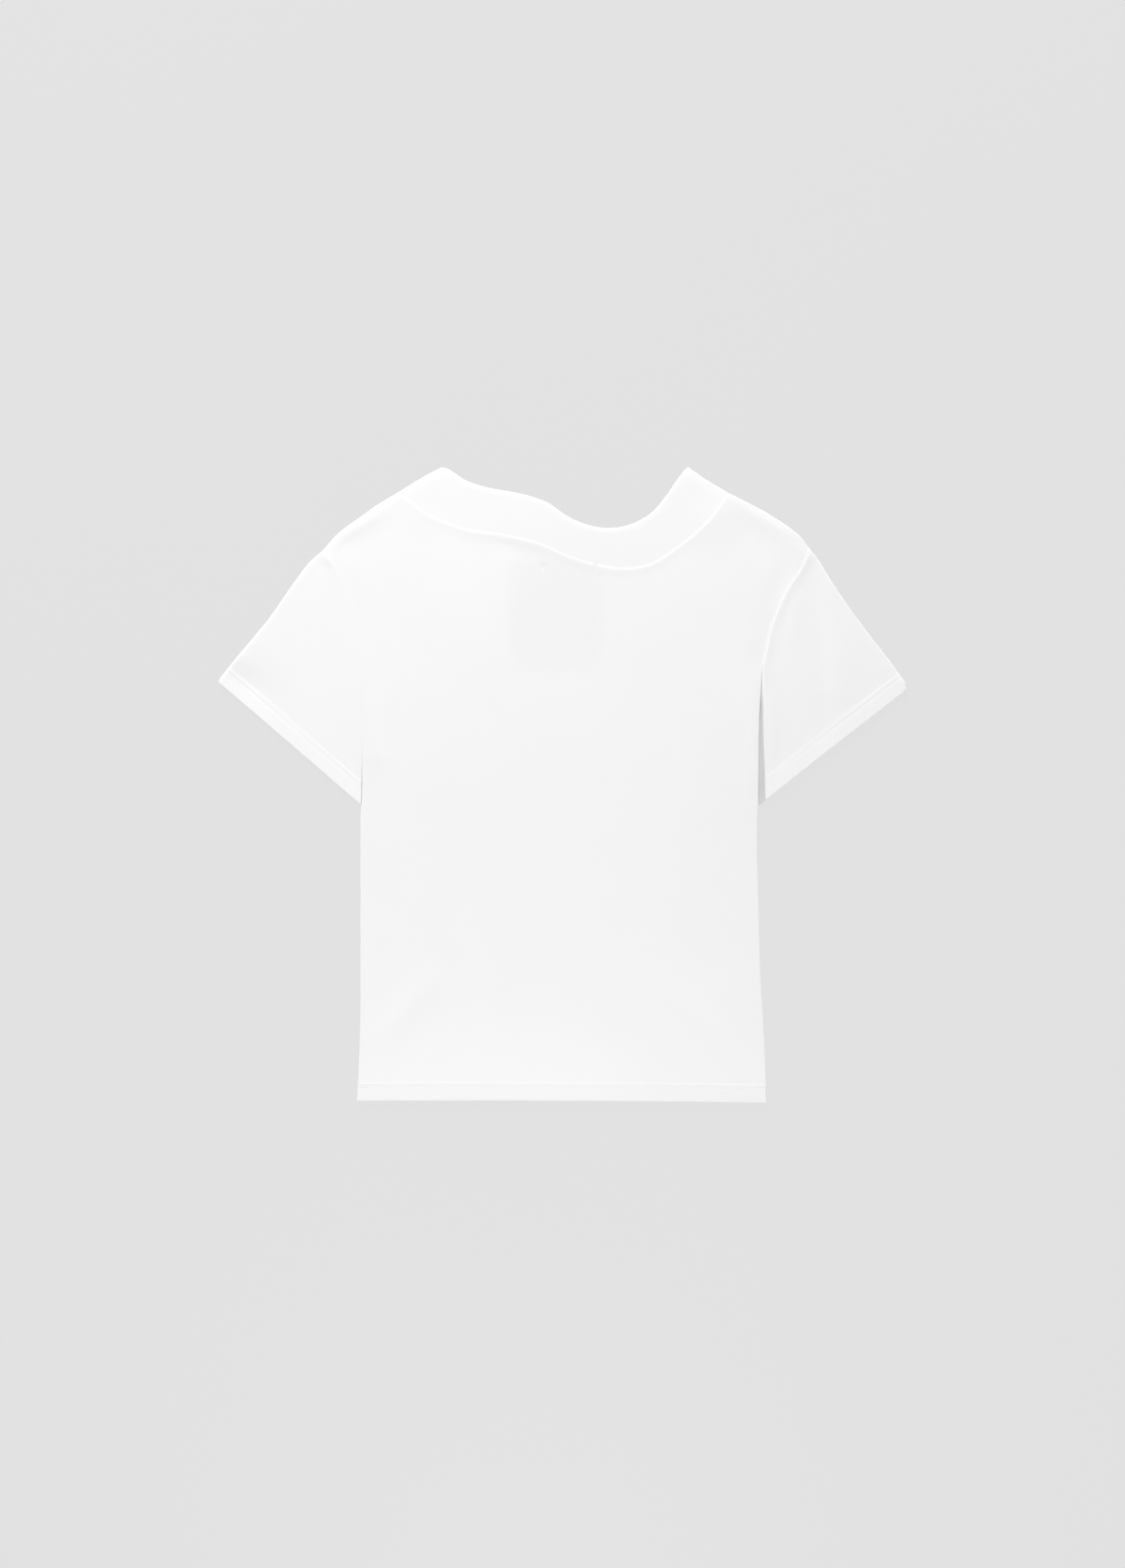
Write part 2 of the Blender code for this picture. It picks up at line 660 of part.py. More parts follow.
def neckband():
    """Rings of the neckband: across the back, round the fold and back along the front."""
    q, n, rows = QUARTER, NECK_COLS, BAND_ROWS
    wall_mid = BAND / 2
    grid = {}
    for upper, neck in ((True, BACK_NECK), (False, FRONT_NECK)):
        def height(p):
            return lay(*p) if upper else wall_mid

        seam = neck.seam_points(GAP)
        line = neck.line_points()
        # the fold at each shoulder: the outline, and where the roll starts inside it
        steps = np.linspace(0, 1, rows + 1)
        out_edge, inset = {}, {}
        for side, first, last in ((LEFT, seam[0], line[0]), (RIGHT, seam[-1], line[-1])):
            fold = side.band_fold
            first_way, last_way = first - fold.at(0.0), last - fold.at(fold.length)
            for v in steps:
                s = v * fold.length
                along = fold.direction(s)
                normal = np.array([-along[1], along[0]])
                if normal @ first_way < 0:
                    normal = -normal
                out = fold.at(s) + along * (GAP * (1 - v) - wall_mid * 0.5 * v)
                out_edge[side.sign, v] = out + normal * wall_mid
                inset[side.sign, v] = fold.at(s) + first_way * (1 - v) + last_way * v
        plan = patch(
            seam, line, np.array([inset[-1, v] for v in steps]), np.array([inset[1, v] for v in steps])
        )
        for r, v in enumerate(steps):
            for c in range(n + 1):
                p = plan[r, c]
                grid[r, upper, c] = (p[0], p[1], height(p))
            for sign, c0 in ((-1, 0), (1, n)):
                inner, edge = plan[r, c0], out_edge[sign, v]
                z = height(inner)
                for k in range(1, q + 1):
                    sx, sz = bend(QUARTER_TURN, k / q)
                    p = inner + (edge - inner) * sx
                    grid[r, upper, c0 + sign * k] = (p[0], p[1], z - (z - SEAM_Z) * sz)
    ring = [(True, i) for i in range(-q, n + q + 1)] + [(False, i) for i in range(n + q - 1, -q, -1)]
    faces = []
    for r in range(rows):
        for a in range(len(ring)):
            b = (a + 1) % len(ring)
            faces.append(((r, *ring[a]), (r, *ring[b]), (r + 1, *ring[b]), (r + 1, *ring[a])))
    return grid, faces


# ---- the garment ----
for old in list(bpy.data.objects):
    bpy.data.objects.remove(old, do_unlink=True)

garment = bpy.data.collections.new("tshirt")
bpy.context.scene.collection.children.link(garment)

WHITE = (0.89, 0.89, 0.89)
new_object("front_panel", WHITE, CLOTH, *panel(False, FRONT_NECK), garment)
new_object("back_panel", WHITE, CLOTH, *panel(True, BACK_NECK), garment)
new_object("sleeve_left", WHITE, CLOTH, *sleeve(LEFT), garment)
new_object("sleeve_right", WHITE, CLOTH, *sleeve(RIGHT), garment)
new_object("neckband", WHITE, BAND, *neckband(), garment)
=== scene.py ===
# The looks of a plain white jersey T-shirt with a wide neckband, laid flat with its back up.
#
# The frame: +X to the wearer's right, +Y from hem to neck, +Z up from the table.
# Tables and sizes are in millimetres, and the meshes are in metres.
# Each cut piece is a thin shell through the middle of its cloth, on the form of its solid.

import math

import bmesh
import bpy
import numpy as np
from mathutils import Matrix


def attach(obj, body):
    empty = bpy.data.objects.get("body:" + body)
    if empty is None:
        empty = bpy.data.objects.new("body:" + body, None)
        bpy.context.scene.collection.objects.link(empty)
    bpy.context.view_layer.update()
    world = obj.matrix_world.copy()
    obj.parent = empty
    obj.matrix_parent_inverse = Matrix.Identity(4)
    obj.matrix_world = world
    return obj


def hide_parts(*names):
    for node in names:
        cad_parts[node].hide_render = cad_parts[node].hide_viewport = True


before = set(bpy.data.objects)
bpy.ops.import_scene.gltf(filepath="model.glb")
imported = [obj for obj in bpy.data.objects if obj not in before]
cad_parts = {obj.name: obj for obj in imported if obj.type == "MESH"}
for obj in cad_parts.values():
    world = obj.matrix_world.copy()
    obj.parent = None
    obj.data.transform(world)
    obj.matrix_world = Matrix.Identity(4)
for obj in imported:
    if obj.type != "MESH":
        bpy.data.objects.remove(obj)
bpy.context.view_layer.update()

MM = 0.001

# ---- cloth and how it lies ----
CLOTH = 1.0          # wall of the jersey panels
BAND = 1.4           # wall of the neckband, the jersey folded double
GAP = 0.04           # between the two layers at a seam, and between pieces deep in a crease
SEAM_LAP = 0.25      # how far the neckband and the sleeves reach over the body's edge
SEAM_TUCK = 0.12     # how much lower the neckband lies there, and how much higher a sleeve
SEAM_TUCK_RUN = 6.0  # how far into a sleeve it lies higher
LAP_RUNS = (10.0, 6.0)   # stretches over which a sleeve's lap ends, at the crease and at the tip
LAY = 3.8            # middle of the upper layer above the table
UNDER = 0.65         # middle of the lower layer
SEAM_Z = 2.0         # height of the side, shoulder and underarm edges
ROLL = 1.6           # how far a folded edge curves back, at the wall's middle
FOLD_IN = ROLL + CLOTH / 2   # from the garment's outline to where the roll starts
HEM = 15.5           # depth of the turned hems
HEM_RISE = 1.2       # how much the hem's middle lies above the line between its corners
TIP_RUN = 9.0        # stretch of armhole that sets how the fold turns in at the shoulder tip
TIP_REACH = FOLD_IN * 1.2    # how far the fold turns in there
CUFF_RUN = 6.0       # stretch of cuff that sets how the sleeve's fold turns in at its corner
CREASE_LEAD = 9.0    # a crease's edge starts to lean this far above its place
CREASE_PART = 0.1    # extra parting of the layers where the crease opens them
CREASE_RUN = 24.0    # length of that parting, to each side of the underarm
CREASE_TIGHT = 0.4   # how much narrower the body's edge rolls beside a crease
TIGHT_RUN = 10.0     # stretch below the crease over which it becomes so
LOW_CREASE = 20.0    # length over which the lower layer's edge draws in below the crease's top
END_PART = 0.1       # extra parting of the layers at the two ends of a shoulder
# A fold's ends turn in over one part in this many of its length.
SHOULDER_ENDS = 3.0
PART_ENDS = 4.0
SLEEVE_ENDS = 6.0
MIN_SQUARE = 0.6     # sine of the sharpest slant at which the neckband's fold meets a seam
QUARTER_TURN = math.pi / 2
LEAST_TURN = 1e-3    # an edge that isn't turned down counts as turned this much

# ---- outline tables, one row for each named place ----
# The body's edge on each side: the side seam up to the underarm, then the armhole.
# place, x, y
LEFT_EDGE = (
    ("hem corner", -198.4, -303.3),
    ("hem fold", -197.2, -285.0),
    ("low hip", -195.8, -254.7),
    ("hip", -194.7, -200.0),
    ("waist", -194.7, -110.7),
    ("chest", -194.7, -33.0),
    ("sleeve end", -193.6, -14.0),
    ("underarm", -193.4, -8.0),
    ("crease top", -193.0, 32.0),
    ("armhole low", -194.2, 112.0),
    ("armhole mid", -197.6, 144.0),
    ("armhole high", -206.1, 177.3),
    ("under shoulder", -219.6, 207.7),
    ("shoulder tip", -230.4, 225.0),
)
RIGHT_EDGE = (
    ("hem corner", 195.6, -305.2),
    ("hem fold", 194.9, -285.0),
    ("low hip", 193.9, -254.7),
    ("hip", 189.9, -182.7),
    ("waist", 187.8, -110.7),
    ("chest", 186.6, -50.0),
    ("sleeve end", 187.5, -14.0),
    ("underarm", 188.0, 42.3),
    ("crease top", 191.5, 112.5),
    ("armhole low", 195.5, 132.2),
    ("armhole mid", 200.7, 153.6),
    ("armhole high", 214.0, 184.9),
    ("under shoulder", 227.5, 205.8),
    ("shoulder tip", 236.9, 225.4),
)

# The shoulder's fold, from the sleeve to the neck seam.
LEFT_SHOULDER = (
    ("tip", -230.4, 225.0),
    ("outer", -216.9, 240.3),
    ("middle", -192.6, 258.3),
    ("inner", -180.0, 267.3),
    ("neck seam", -159.3, 279.9),
)
RIGHT_SHOULDER = (
    ("tip", 236.9, 225.4),
    ("outer", 224.6, 240.3),
    ("middle", 198.9, 258.3),
    ("inner", 182.7, 267.3),
    ("neck seam", 158.9, 279.5),
)

# The neckband's own fold, from the neck seam to the point of the neckline.
LEFT_BAND_FOLD = (("seam", -159.3, 279.9), ("middle", -135.9, 294.3), ("point", -115.2, 305.3))
RIGHT_BAND_FOLD = (("seam", 158.9, 279.5), ("middle", 134.1, 294.3), ("point", 118.8, 305.3))

# The seam of the neckband, and the neckline, left to right.
BACK_SEAM = (
    ("left fold", -159.3, 279.9),
    ("left shoulder", -144.9, 269.6),
    ("left corner", -130.5, 259.2),
    ("left side", -113.4, 251.2),
    ("left rise", -93.6, 244.4),
    ("left back", -55.0, 238.6),
    ("slope", -24.3, 231.3),
    ("slope foot", 2.0, 219.6),
    ("low start", 30.2, 210.6),
    ("lowest", 62.0, 206.8),
    ("low end", 84.0, 211.4),
    ("right side", 107.0, 225.2),
    ("right rise", 133.2, 246.6),
    ("right shoulder", 147.0, 262.0),
    ("right fold", 158.9, 279.5),
)
BACK_NECKLINE = (
    ("left point", -115.2, 305.3),
    ("left turn", -106.0, 299.8),
    ("left side", -92.0, 290.8),
    ("left back", -72.9, 284.9),
    ("middle left", -36.9, 277.9),
    ("slope", -15.5, 270.4),
    ("slope foot", 4.0, 257.2),
    ("low start", 21.0, 249.6),
    ("lowest", 42.0, 245.9),
    ("low end", 64.0, 249.4),
    ("right side", 84.0, 260.4),
    ("right rise", 98.1, 276.6),
    ("right turn", 109.0, 292.2),
    ("right point", 118.8, 305.3),
)
FRONT_SEAM = (
    ("left fold", -159.3, 279.9),
    ("left shoulder", -147.0, 262.0),
    ("left side", -130.0, 233.0),
    ("left low", -98.0, 198.0),
    ("left front", -54.0, 173.0),
    ("centre", 0.0, 164.0),
    ("right front", 54.0, 173.0),
    ("right low", 98.0, 198.0),
    ("right side", 130.0, 233.0),
    ("right shoulder", 147.0, 262.0),
    ("right fold", 158.9, 279.5),
)
FRONT_NECKLINE = (
    ("left point", -115.2, 305.3),
    ("left turn", -112.0, 292.0),
    ("left side", -103.0, 262.0),
    ("left low", -80.0, 226.0),
    ("left front", -43.0, 205.0),
    ("centre", 0.0, 199.0),
    ("right front", 43.0, 205.0),
    ("right low", 80.0, 226.0),
    ("right side", 104.0, 262.0),
    ("right turn", 114.0, 292.0),
    ("right point", 118.8, 305.3),
)

# The fold along the top of each sleeve, from the shoulder tip to the cuff.
LEFT_SLEEVE = (
    ("shoulder tip", -230.4, 225.0),
    ("rounding", -243.5, 213.3),
    ("upper", -257.4, 195.3),
    ("middle", -282.6, 159.3),
    ("lower", -312.3, 123.3),
    ("cuff hem", -326.7, 105.3),
    ("cuff", -331.5, 98.6),
)
RIGHT_SLEEVE = (
    ("shoulder tip", 236.9, 225.4),
    ("rounding", 246.2, 213.3),
    ("upper", 257.0, 195.3),
    ("middle", 281.7, 159.3),
    ("lower", 309.2, 123.3),
    ("cuff hem", 322.7, 105.3),
    ("cuff", 331.4, 92.4),
)
LEFT_CUFF = (("fold", -331.5, 98.6), ("middle", -255.6, 33.3), ("body", -193.5, -20.2))
RIGHT_CUFF = (("fold", 331.4, 92.4), ("middle", 255.2, 33.3), ("body", 188.0, -19.6))

# How far the sleeve's upper layer stands back from the body in the underarm crease.
# place, y, width
LEFT_CREASE = (("top", 32.0, 0.0), ("underarm", -8.0, 0.8), ("cuff", -20.0, 1.2))
RIGHT_CREASE = (
    ("top", 112.5, 0.0),
    ("middle", 81.5, 2.8),
    ("underarm", 42.3, 4.6),
    ("cuff", -20.0, 7.4),
)

FOLD_FADE = 0.5      # how much lower a fold is at its two ends
# Soft folds of the upper layer: from x0, y0 to x1, y1, width to each side, height.
FOLDS = (
    ("hem fold, left", -128, -185, -172, -243, 11, 1.3),
    ("trough beside it", -108, -205, -150, -262, 15, -0.8),
    ("hem fold, right", 120, -208, 166, -268, 10, 1.2),
    ("trough beside it", 100, -222, 145, -276, 15, -0.6),
    ("right armhole trough, upper", 214, 214, 200, 177, 8, -0.7),
    ("right armhole trough, lower", 200, 177, 180, 104, 10, -0.6),
    ("right body ridge", 178, 156, 174, 70, 12, 0.4),
    ("left armhole trough", -200, 190, -180, 110, 13, -0.5),
    ("left body ridge", -180, 78, -180, 22, 9, 1.1),
    ("left body swell", -180, 34, -180, 18, 14, 0.8),
    ("right body lip", 182, 104, 181, -24, 7.5, 0.8),
    ("right sleeve ridge", 196.5, 108, 201, 30, 7, 0.8),
    ("right sleeve valley", 211, 60, 207, 8, 7, -0.3),
    ("right sleeve trough", 236, 208, 250, 104, 10, -1.2),
    ("right sleeve rise", 222, 180, 221, 140, 7, 0.7),
    ("right sleeve lie", 204, 160, 212, 30, 48, 1.6),
    ("right sleeve swell", 268, 140, 262, 70, 18, 0.6),
    ("right sleeve pocket", 246, 92, 252, 50, 10, -0.9),
    ("left sleeve trough", -232, 190, -226, 60, 16, -0.4),
    ("left sleeve swell", -262, 130, -250, 60, 18, 0.5),
    ("left tip trough", -322, 112, -286, 84, 16, -1.4),
    ("left shoulder ridge", -205, 242, -176, 260, 7, 0.6),
    ("left shoulder valley", -205, 222, -160, 252, 12, -0.6),
    ("left shoulder valley, outer", -215, 223, -199, 238, 5.5, -0.5),
    ("left tip ridge", -228, 220, -222, 210, 3.2, 0.45),
    ("left tip valley", -234, 214, -229, 205, 4.5, -0.4),
    ("right shoulder ridge", 212, 240, 180, 260, 7, 0.6),
    ("right shoulder valley", 200, 222, 168, 252, 12, -0.7),
    ("right shoulder crest", 140, 240, 160, 270, 17, 1.5),
    ("left shoulder crest", -154, 260, -132, 248, 11, 0.5),
    ("valley below the neck, left", -64, 230, -30, 221, 7, -0.5),
    ("left back crest", -82, 228, -88, 20, 60, 1.5),
    ("right back crest", 150, 225, 150, 120, 42, 1),
    ("waist crest", -60, 24, 150, 34, 75, 1.1),
    ("hem crest", -130, -304, 90, -304, 52, 2),
    ("left sleeve lie", -262, 196, -330, 112, 34, 0.9),
    ("left tip lie", -308, 134, -328, 108, 22, 2),
)
# The same of the lower layer, where it lifts off the table.
UNDER_FOLDS = (
    ("chest fold, left", -150, 120, -95, 60, 11, 0.7),
    ("chest fold, right", 150, 140, 105, 66, 11, 0.8),
    ("waist fold", -60, -60, 40, -96, 16, 0.6),
    ("hem fold, left", -120, -190, -160, -250, 12, 0.8),
    ("hem fold, right", 110, -205, 150, -262, 12, 0.8),
    ("left sleeve fold", -236, 180, -246, 70, 10, 0.7),
    ("right sleeve fold", 240, 180, 254, 70, 10, 0.7),
)

# ---- seams and hems ----
# The ridge over a seam's turned allowances: its height, how far its crest lies from the seam
# towards the sleeve or the body, and how far it falls to the crest's two sides.
# seam, height, crest, steep side, gentle side
SEAM_RIDGES = {
    "neck": (0.4, 1.0, 1.3, 5.0),
    "left armhole": (0.25, 0.4, 2.0, 4.5),
    "right armhole": (1.05, 0.5, 1.7, 5.0),
}
ARMHOLE_END = 14.0   # how far below the crease's top the armhole's ridge ends
ARMHOLE_FADE = 5.0   # length over which it ends
SHELF_DEPTH = 0.95   # how far the shaded strip in the underarm crease lies below the body's face
SHELF_DIP = 0.2      # how far it sinks between its edges
SHELF_SHARE = 0.5    # share of the crease's steps that lie on that strip
TUCK_START = 25.0    # how far below the crease's top the strip starts to lie under the body's edge
TUCK_RUN = 28.0      # length over which it comes to do so
CREASE_DARKENS = 3   # how much faster the painted shade deepens down the crease than the cloth drops
OPEN_SEAM_RUN = 6.0  # length above the underarm over which the strip's end becomes a cut edge
HEM_STEP = 0.7       # height of a hem's second layer over the single cloth
HEM_STEP_AT = HEM + 1.0      # middle of that step, from the hem's edge
HEM_SLOPE = 1.0      # length of that step
# Depth or height of a form, and how far it spreads.
HEM_GROOVE = (0.3, 1.5)      # the groove of the twin-needle stitching
BAND_ROUND = (0.5, 3.0)      # the neckline's fold, rounded down
SHOULDER_ROUND = (0.8, 4.5)  # the shoulders' folds, rounded down
NECK_POINT = (0.8, 2.6)      # a neck point, drawn in to round it
CUFF_POINT = {"left": (0.6, 2.5), "right": (2.0, 4.2)}   # the same at the cuffs' outer corners
NEEDLES = (12.6, 15.4)       # the twin-needle rows, from the hem's edge
STITCH = 3.0         # pitch of the stitches
STITCH_SHARE = 0.88  # share of the pitch that a stitch covers
THREAD = 0.34        # thickness of the thread
THREAD_FLAT = 0.8    # its height over its width
THREAD_LIFT = 0.05   # share of it by which its middle lies over the cloth's face
STITCH_RUN = 32      # stitches joined at a time
ABOVE = 0.6          # how far up the cloth from a row its way up is taken
LEAST_ABOVE = 0.3    # there are no stitches where that much cloth is missing

NEARBY = 1.5         # a curve's direction is taken between places this far to each side

# ---- how finely each stretch is divided, in mm a step ----
LEAST_WALL = 0.03    # share of the wall that is left in a rounded rim
SHARP = math.radians(55)     # angle from which an edge looks crisp
RIM = (0.0, 0.07, 0.22, 0.5)   # the rounded rim of a hem, from its edge
FINE = 1.0
STEP = 2.7
SEAM_FINE = 5.5      # stretch of fine steps beside a seam
HEM_FINE = HEM + 3.0     # the same at a hem
NECKLINE_FINE = 6.6      # the same at the neckline
ROLL_STEPS = 5
CREASE_STEPS = 12
CREASE_ROUNDS = 8    # times that the crease's rows are stretched to end on the cuff
HEM_ROWS = 17
SIDE_ROWS = 116
CREASE_ROWS = 23
ARM_ROWS = 36
TOP_RUN = 10.0       # stretch of armhole below the shoulder tip that turns in to the shoulder's fold
TOP_ROWS = 9
NECK_COLS = 118
SLEEVE_LENGTH = 164.0
BAND_WIDTH = 36.0
SHOULDER_LENGTH = 100.0
SHOULDER_START = 0.06    # share of the shoulder with closer columns, beside the sleeve
# Shares of the shoulder at which its columns lie.
SHOULDER_SHARES = np.concatenate([
    np.linspace(0, ROLL / SHOULDER_LENGTH, ROLL_STEPS + 1),
    np.linspace(ROLL / SHOULDER_LENGTH, SHOULDER_START, 4)[1:],
    np.linspace(SHOULDER_START, 1.0, 30)[1:],
])


# ---- curves ----
def points(table):
    """The plan places of a table's rows."""
    return np.array([row[1:3] for row in table], float)


def place_at(s, run, path):
    """Places of a path at s of its run."""
    return np.stack([np.interp(s, run, column) for column in path.T], -1)


def hermite(t, h, a, b, slope_a, slope_b):
    return (
        (2 * t**3 - 3 * t**2 + 1) * a
        + (t**3 - 2 * t**2 + t) * h * slope_a
        + (3 * t**2 - 2 * t**3) * b
        + (t**3 - t**2) * h * slope_b
    )


def through(knots, values, at):
    """A smooth curve through a table's rows, without overshoot between them."""
    steps = np.diff(knots)
    slopes = np.diff(values) / steps
    tangents = np.empty(len(knots))
    tangents[0], tangents[-1] = slopes[0], slopes[-1]
    for i in range(1, len(knots) - 1):
        before, after = slopes[i - 1], slopes[i]
        if before * after <= 0:
            tangents[i] = 0.0
        else:
            a, b = 2 * steps[i] + steps[i - 1], steps[i] + 2 * steps[i - 1]
            tangents[i] = (a + b) / (a / before + b / after)
    at = np.asarray(at, float)
    i = np.clip(np.searchsorted(knots, at) - 1, 0, len(steps) - 1)
    t = (at - knots[i]) / steps[i]
    return hermite(t, steps[i], values[i], values[i + 1], tangents[i], tangents[i + 1])


def run_along(row):
    """Length along a row of points at each one."""
    return np.concatenate([[0], np.cumsum(np.linalg.norm(np.diff(row, axis=0), axis=1))])


def off_line(plan, start, end):
    """Where plan points lie along a straight line, from 0 to 1, and the square of their distance."""
    run = end - start
    t = np.clip(((plan - start) @ run) / (run @ run), 0, 1)
    gap = plan - start - t[..., None] * run
    return t, gap[..., 0] ** 2 + gap[..., 1] ** 2


class Curve:
    """A smooth plan curve through a table, followed by its own length in mm."""

    def __init__(self, table, count=400):
        places = points(table)
        chord = run_along(places)
        before = np.clip(np.arange(len(places)) - 1, 0, None)
        after = np.clip(np.arange(len(places)) + 1, None, len(places) - 1)
        tangents = (places[after] - places[before]) / (chord[after] - chord[before])[:, None]
        s = np.linspace(0, chord[-1], count)
        i = np.clip(np.searchsorted(chord, s) - 1, 0, len(places) - 2)
        h = (chord[i + 1] - chord[i])[:, None]
        t = (s - chord[i])[:, None] / h
        self.dense = hermite(t, h, places[i], places[i + 1], tangents[i], tangents[i + 1])
        self.along = run_along(self.dense)
        self.length = self.along[-1]

    def at(self, s):
        return place_at(s, self.along, self.dense)

    def direction(self, s):
        s = np.asarray(s, float)
        ahead, behind = np.minimum(s + NEARBY, self.length), np.maximum(s - NEARBY, 0.0)
        step = self.at(ahead) - self.at(behind)
        return step / np.linalg.norm(step, axis=-1, keepdims=True)

    def aside(self, plan):
        """How far each plan point is from the curve, positive on its left."""
        gaps = [np.hypot(plan[..., 0] - x, plan[..., 1] - y) for x, y in self.dense[::8]]
        order = np.argmin(np.stack(gaps), 0) * 8
        near, way = self.dense[order], self.direction(self.along[order])
        off = plan - near
        return self.distance(plan) * np.sign(way[..., 0] * off[..., 1] - way[..., 1] * off[..., 0])

    def distance(self, plan):
        """How far each plan point is from the curve."""
        ends = self.dense[2::2]
        pieces = zip(self.dense[: 2 * len(ends) : 2], ends)
        return np.sqrt(np.min([off_line(plan, a, b)[1] for a, b in pieces], axis=0))


def lifted(plan, z):
    """Plan places with their heights."""
    return np.concatenate([plan, z[..., None]], -1)


def unit(vector):
    return vector / np.linalg.norm(vector)


def square_to(along, inward):
    """Directions square to a row of directions, on the side that inward points to."""
    square = np.stack([-along[:, 1], along[:, 0]], -1)
    return square * np.where(square @ inward < 0, -1, 1)[:, None]


def end_shares(t, parts):
    """Shares of a fold's first and last direction, each fading over one part in parts of it."""
    return np.maximum(0, 1 - t * parts), np.maximum(0, 1 - (1 - t) * parts)


def fractions(row):
    """How far along a row of points each one is, from 0 to 1."""
    steps = run_along(row)
    return steps / steps[-1]


def patch(bottom, top, left, right):
    """A four-sided plan patch between its edges; rows run bottom to top."""
    u = (fractions(bottom) + fractions(top))[None, :, None] / 2
    v = (fractions(left) + fractions(right))[:, None, None] / 2
    low_corners = (1 - u) * (1 - v) * bottom[0] + u * (1 - v) * bottom[-1]
    corners = low_corners + (1 - u) * v * top[0] + u * v * top[-1]
    across = (1 - v) * bottom[None] + v * top[None]
    return across + (1 - u) * left[:, None] + u * right[:, None] - corners


def stops(length, fine_start=0.0, fine_end=0.0):
    """Stops along a length: FINE apart in the runs at its ends, STEP between, and a rim at the last."""
    rim = list(-np.diff(RIM[::-1])) if fine_end else []
    middle = length - fine_start - fine_end
    runs = []
    for run, step in ((fine_start, FINE), (middle, STEP), (fine_end - sum(rim), FINE)):
        count = int(math.ceil(run / step - 1e-6))
        if count > 0:
            runs += [run / count] * count
    return np.concatenate([[0], np.cumsum(runs + rim)])


# ---- heights ----
def soft_folds(plan, table):
    """Height of a table's folds over the level layer."""
    z = np.zeros(plan.shape[:-1])
    for _, x0, y0, x1, y1, width, height in table:
        t, square = off_line(plan, np.array([x0, y0]), np.array([x1, y1]))
        z += height * (1 - FOLD_FADE * (2 * t - 1) ** 2) * np.exp(-square / width**2)
    return z


def ridge(distance, height, spread):
    return height * np.exp(-((distance / spread) ** 2))


def fading(past):
    """One well below zero, falling smoothly to nothing well above it."""
    return 1 / (1 + np.exp(np.clip(past, -40, 40)))


def seam_ridge(aside, seam):
    """Height over a seam's allowances; aside is negative on the side that they are turned to."""
    height, crest, steep, gentle = SEAM_RIDGES[seam]
    return ridge(aside + crest, height, np.where(aside + crest > 0, steep, gentle))


def hem_line(x):
    """Height on the plan of the body's hem at x."""
    (_, x0, y0), (_, x1, y1) = LEFT_EDGE[0], RIGHT_EDGE[0]
    t = np.clip((x - x0) / (x1 - x0), 0, 1)
    return y0 + (y1 - y0) * t + HEM_RISE * np.sin(math.pi * t)


def hem_step(distance):
    """The hem's second layer and its groove, by distance from the hem's edge."""
    step = HEM_STEP * fading((distance - HEM_STEP_AT) / (HEM_SLOPE / 3))
    return step - ridge(distance - sum(NEEDLES) / 2, *HEM_GROOVE)


def bend(turn, s):
    """A strip bent through an angle: share of its reach and of its drop, at s of its length."""
    turn = np.maximum(turn, LEAST_TURN)
    return np.sin(turn * s) / np.sin(turn), (1 - np.cos(turn * s)) / (1 - np.cos(turn))


def drawn_in(grid, corner, inward, how):
    """The grid with its places near an outline corner drawn in to round it."""
    off = np.hypot(grid[..., 0] - corner[0], grid[..., 1] - corner[1])
    moved = grid.copy()
    moved[..., :2] += ridge(off, *how)[..., None] * inward
    return moved


def drop_share(turn):
    """Share of a whole roll's drop that a strip makes when it is bent through an angle."""
    turn = np.maximum(turn, LEAST_TURN)
    return QUARTER_TURN * (1 - np.cos(turn)) / turn


